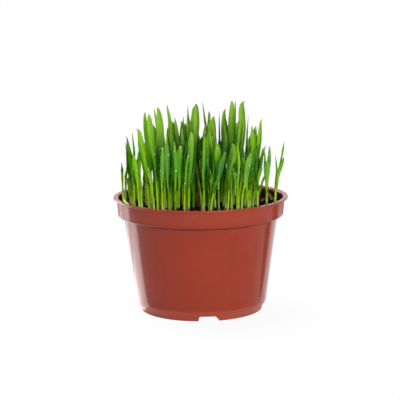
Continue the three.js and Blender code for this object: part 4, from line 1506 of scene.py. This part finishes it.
def open_air(x, y):
    """0 in the middle of the pot, 1 at its rim: it paints the shoots in the middle deeper green, as painted
    shade.
    """
    return clamp((math.hypot(x, y) - SHADED_RADIUS) / SHADE_WIDTH)


def grow_shoot_mesh(patch, shoot, tint):
    facing = math.radians(shoot.blades[0].turn + 90)
    for blade in shoot.blades:
        look = leaf_look(blade)
        look["tint"] = clamp(tint + (look["tint"] - 0.5) * 0.7)
        grow_blade(patch, shoot, blade, look)
    radius = STEM_RADIUS * (1 if len(shoot.blades) > 1 else 0.85)
    grow_sheath(patch, shoot, shoot.split, radius, STEM_FLARE, 0.7, facing, tint=tint)
    if chance() < SLEEVED:
        top = min(chance.between(3, 8), shoot.split - 1)
        radius += SLEEVE_ROOM
        grow_sheath(patch, shoot, top, radius, STEM_FLARE, 1.2, facing + 2, tint=tint, paper=1.0)


def make_plants():
    for i, shoots in enumerate(plants):
        patch = Patch(*FIELDS)
        x, y = shoots[0].root
        # Painted light: plants towards the sides, most on the left, are painted lighter and yellower.
        side_light = clamp((abs(x) - FLANK_FROM) / FLANK_WIDTH) * (LEFT_SIDE_LIGHT if x < 0 else RIGHT_SIDE_LIGHT)
        # Painted shade: plants in the middle get a lower tint, so they are painted deeper green.
        tint = chance.between(-0.1, 0.35) + 0.4 * open_air(x, y) + side_light
        for shoot in shoots:
            grow_shoot_mesh(patch, shoot, tint)
        grass = patch.object(f"grass_{i + 1:02d}", leaf, SMOOTH_BELOW)
        placed(grass, [PLANT_NODES[i]])


def make_young():
    patches = [Patch(*FIELDS) for _ in range(YOUNG_GROUPS)]
    for shoot in young:
        x, y = shoot.root
        share = (math.atan2(y, x) / TURN) % 1
        # Painted shade: young shoots in the middle get a lower tint, so they are painted deeper green.
        tint = chance.between(0.0, 0.5) + 0.35 * open_air(x, y)
        grow_shoot_mesh(patches[int(share * YOUNG_GROUPS)], shoot, tint)
    for i, patch in enumerate(patches):
        if patch.count:
            placed(patch.object(f"young_shoots_{i + 1}", leaf, SMOOTH_BELOW))


make_plants()
make_young()
print("grass:", sum(TRIANGLES), "triangles so far")

# %% [markdown]
# ## What has dried and what lies about
# One leaf in the middle of the front has died and stands as a dark brown, crumpled strip. Two clods
# of peat lie against the rim, two flakes of bark at the thin right side, and two empty oat husks
# near them. A husk is a small stiff leaf, rolled nearly shut, so the same function that grows blades
# makes it. Clods and flakes are lumps, the flakes squared off and pressed flat.

# %% Finishes of dry things
def make_fibrous(name, colours, grain, roughness):
    """A dry, streaky plant matter, in a dark, a middle and a light colour."""
    dark, middle, light = [display(*colour) for colour in colours]
    finish = Finish(name)
    where = finish.place()
    streak = finish.noise(finish.stretch(where, 1.0, 0.25), grain, detail=4)
    cloud = finish.noise(where, grain * 5, detail=3)
    spots = 1 - finish.cells(where, grain * 3).ramp(0.12, 0.25)
    base = finish.blend(middle, light, streak.ramp(0.42, 0.62))
    shaded = finish.blend(base, dark, (cloud.ramp(0.4, 0.65) * 0.6 + spots * 0.3).smaller(1))
    return finish.done(finish.surface(
        Base_Color=shaded,
        Roughness=roughness + (cloud - 0.5) * 0.2,
        Specular_IOR_Level=0.2,
        Normal=finish.bump(streak, grain * 0.6, 0.8),
    ))


withered = make_fibrous("withered_blade", [(34, 20, 2), (84, 54, 8), (124, 90, 30)], 0.7, 0.8)
bark = make_fibrous("bark_flake", [(46, 24, 14), (102, 58, 38), (140, 92, 64)], 0.5, 0.85)
husk = make_fibrous("straw_husk", [(132, 112, 74), (186, 168, 124), (216, 204, 168)], 0.35, 0.6)
root_white = make_fibrous("pale_root", [(150, 132, 96), (196, 186, 156), (222, 216, 196)], 0.6, 0.6)

# %% The withered leaf
WITHERED_ROWS = 30
WITHERED_HALF_WIDTH = 2.0
SHRUNK_FROM = 0.8

chance = Chance(911)


def make_withered_leaf():
    patch = Patch()
    blade = withered_shoot.blades[0]
    rise = np.linspace(0, 1, WITHERED_ROWS)
    line = np.array([withered_shoot.centre(blade, value) for value in rise])
    line[:, 2] += foot_height(withered_shoot.root)
    line[:, 0] += 0.35 * np.sin(rise * 13)
    line[:, 1] += 0.45 * np.sin(rise * 9 + 1)
    across, _ = level_ways(np.radians(blade.turn) + 0.3 * np.sin(rise * 7))
    crumpled = 0.8 + 0.2 * np.sin(rise * 21)
    half_width = WITHERED_HALF_WIDTH * crumpled * np.sqrt(1 - beyond(rise, SHRUNK_FROM) ** 2)
    roll = math.radians(140) + 0.7 * np.sin(rise * 16 + 2)
    grow_leaf(patch, line, across, half_width, roll, np.full(WITHERED_ROWS, 0.4), 8)
    grow_sheath(patch, withered_shoot, withered_shoot.split * 1.5, 1.0, 0.3, 0.9, 0.5)
    return placed(patch.object("dry_leaf", withered, SMOOTH_BELOW), ["withered_leaf"])


make_withered_leaf()
print("withered leaf:", TRIANGLES[-1], "triangles")

# %% Loose pieces
SUNK = 0.5  # how far they sit in the crumbs, in millimetres
HUSK_LENGTH = 7.4
HUSK_HALF_WIDTH = 1.12
HUSK_ROLL = math.radians(290)
HUSK_ROWS = 22
# Radii, place, turn and tilt.
CLODS = [((3, 2.4, 1.8), (-5.2, -52), 10, 0), ((2.6, 2.2, 1.7), (-13.2, -51.4), 40, 0)]
FLAKES = [((1.6, 3.25, 0.55), (48.2, 0.5), 35, 42), ((1.1, 2.25, 0.5), (42.5, -7), -50, 25)]
HUSKS = [((31, -22), 25, 55), ((37.5, -20), -30, 40)]  # these have no radii of their own


def lay(name, shape, place, turn, tilt, material, slot, node):
    """Lays a loose piece down on the peat, turned and tilted as its CAD solid is."""
    points, faces = shape
    points = turned(points, turn, tilt)
    x, y = place
    points += [x, y, soil_height(x, y) - SUNK - points[:, 2].min()]
    patch = Patch()
    patch.add(points, faces)
    return placed(patch.object(name, material, 45), [node])


def husk_shape():
    """An empty husk along the Y axis: a stiff leaf rolled nearly shut."""
    share = np.linspace(0, 1, HUSK_ROWS)
    line = np.stack([0 * share, (share - 0.5) * HUSK_LENGTH, 0.25 * np.sin(share * math.pi)], axis=1)
    across = np.tile([1.0, 0.0, 0.0], (HUSK_ROWS, 1))
    half_width = HUSK_HALF_WIDTH * np.sin(np.linspace(0.25, math.pi, HUSK_ROWS)) ** 0.7
    roll, keel = np.full(HUSK_ROWS, HUSK_ROLL), np.full(HUSK_ROWS, 0.1)
    patch = Patch()
    grow_leaf(patch, line, across, half_width, roll, keel, 12)
    return patch.points[0], patch.faces


for i, (radii, *pose) in enumerate(CLODS, 1):
    lay(f"clod_{i}", lump(MIDDLE_BALL, radii, 0.22), *pose, peat, "peat", f"peat_clod_{i}")
for i, (radii, *pose) in enumerate(FLAKES, 1):
    lay(f"bark_{i}", lump(MIDDLE_BALL, radii, 0.14, 0.45), *pose, bark, "bark", f"bark_chip_{i}")
for i, pose in enumerate(HUSKS, 1):
    lay(f"husk_{i}", husk_shape(), *pose, husk, "husk", f"oat_husk_{i}")
print(len(CLODS), "clods,", len(FLAKES), "flakes and", len(HUSKS), "husks")

# %% Root threads
ROOTS = 26


def make_roots():
    """Pale young roots that show between the shoots' feet, where the peat has settled."""
    patch = Patch()
    shown = [shoot.root for plant in plants[:len(SHOWN_PLANTS)] for shoot in plant]
    for _ in range(ROOTS):
        root = shown[int(chance() * len(shown))]
        heading, curl = chance.between(0, TURN), chance.between(-4, 4)
        length = chance.between(2.5, 6)
        line = []
        for step in np.linspace(0, 1, 12):
            angle = heading + curl * step
            x = root[0] + length * step * math.cos(angle) * 0.8
            y = root[1] + length * step * math.sin(angle) * 0.8
            line.append([x, y, soil_height(x, y) + 0.5 + 1.3 * (1 - step) - 1.2 * step * step])
        strand(patch, line, chance.between(0.12, 0.2))
    return placed(patch.object("root_threads", root_white))


make_roots()
print("pieces so far:", len(TRIANGLES), "with", sum(TRIANGLES), "triangles")

# %% [markdown]
# ## Beads of water
# In the morning oat seedlings press water out at their tips, and it stands on the blades as small
# clear beads. A bead is a slightly flattened ball that sits half sunk on a blade. Its finish is clear
# water, painted partly white as a painted highlight, because a bead this small shows mostly the white
# lamps that it mirrors.

# %% Beads
BEAD_SHAPE = np.array([1, 0.75, 1.05])
BEAD_SWELL = 1.12  # how much larger than in the list the beads are
BEAD_LIFT = 0.25  # from a blade's middle line to the middle of a bead
BEADED = [  # plant, shoot, blade, how far up the blade and to which side, and the bead's radius
    (5, 1, 0, 0.70, -0.6, 0.42), (5, 1, 0, 0.92, 0.5, 0.36), (5, 0, 0, 0.45, 0.4, 0.4),
    (6, 0, 0, 0.99, 0.0, 0.5), (6, 0, 0, 0.52, -0.7, 0.36), (7, 0, 0, 0.72, 0.6, 0.4),
    (7, 1, 0, 0.62, 0.5, 0.38), (8, 1, 0, 0.97, 0.3, 0.5), (8, 1, 0, 0.9, 0.9, 0.45),
    (8, 0, 0, 0.8, -0.5, 0.36), (8, 0, 0, 0.42, 0.5, 0.4), (9, 0, 0, 0.3, -0.4, 0.42),
    (9, 0, 0, 0.93, 0.2, 0.36), (25, 0, 0, 0.62, 0.4, 0.42), (25, 0, 1, 0.9, -0.6, 0.36),
    (23, 1, 0, 0.85, 0.5, 0.42), (23, 1, 0, 0.66, -0.5, 0.34), (12, 0, 0, 0.9, -0.4, 0.36),
    (14, 0, 0, 0.7, 0.5, 0.38), (13, 1, 0, 0.4, 0.2, 0.36), (21, 0, 0, 0.5, 0.6, 0.36),
    (16, 0, 1, 0.8, -0.4, 0.34), (2, 0, 0, 0.6, 0.4, 0.34), (4, 0, 0, 0.75, -0.5, 0.34),
]


def make_water():
    finish = Finish("water")
    # Painted highlight: the bead is partly white, standing for the lamps that it mirrors.
    painted_glint = finish.noise(finish.place(), 0.4, detail=1)
    return finish.done(finish.surface(
        Base_Color=finish.blend(display(236, 244, 236), display(255, 255, 255), painted_glint),
        Roughness=painted_glint * 0.06,
        IOR=1.33,
        Transmission_Weight=0.6,
    ))


def make_beads():
    patch = Patch()
    for plant, number, blade_number, rise, side, radius in BEADED:
        shoot = plants[plant][number]
        blade = shoot.blades[blade_number]
        x, y, height = shoot.centre(blade, rise)
        turn = blade_turn(blade, rise)
        reach = side * blade_width(blade, rise) / 2 * 0.8
        x += reach * math.cos(turn) + BEAD_LIFT * math.sin(turn)
        y += reach * math.sin(turn) - BEAD_LIFT * math.cos(turn) - radius * 0.3
        points, faces = MIDDLE_BALL
        bead = turned(points * BEAD_SHAPE * radius * BEAD_SWELL, math.degrees(turn))
        patch.add(bead + [x, y, height + foot_height(shoot.root)], faces)
    return placed(patch.object("water_beads", make_water()))


make_beads()
print(len(BEADED), "beads of water")

# %% [markdown]
# Both boxes, the CAD model's and the dressed model's, are written down side by side, so that they
# can be compared.

# %% Finish
dressed_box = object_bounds()
boxes = {name: [list(corner) for corner in box] for name, box in (("cad", cad_box), ("dressed", dressed_box))}
print("CAD box", boxes["cad"])
print("dressed", boxes["dressed"])
print(len(TRIANGLES), "pieces,", sum(TRIANGLES), "triangles, at most", max(TRIANGLES), "in one")
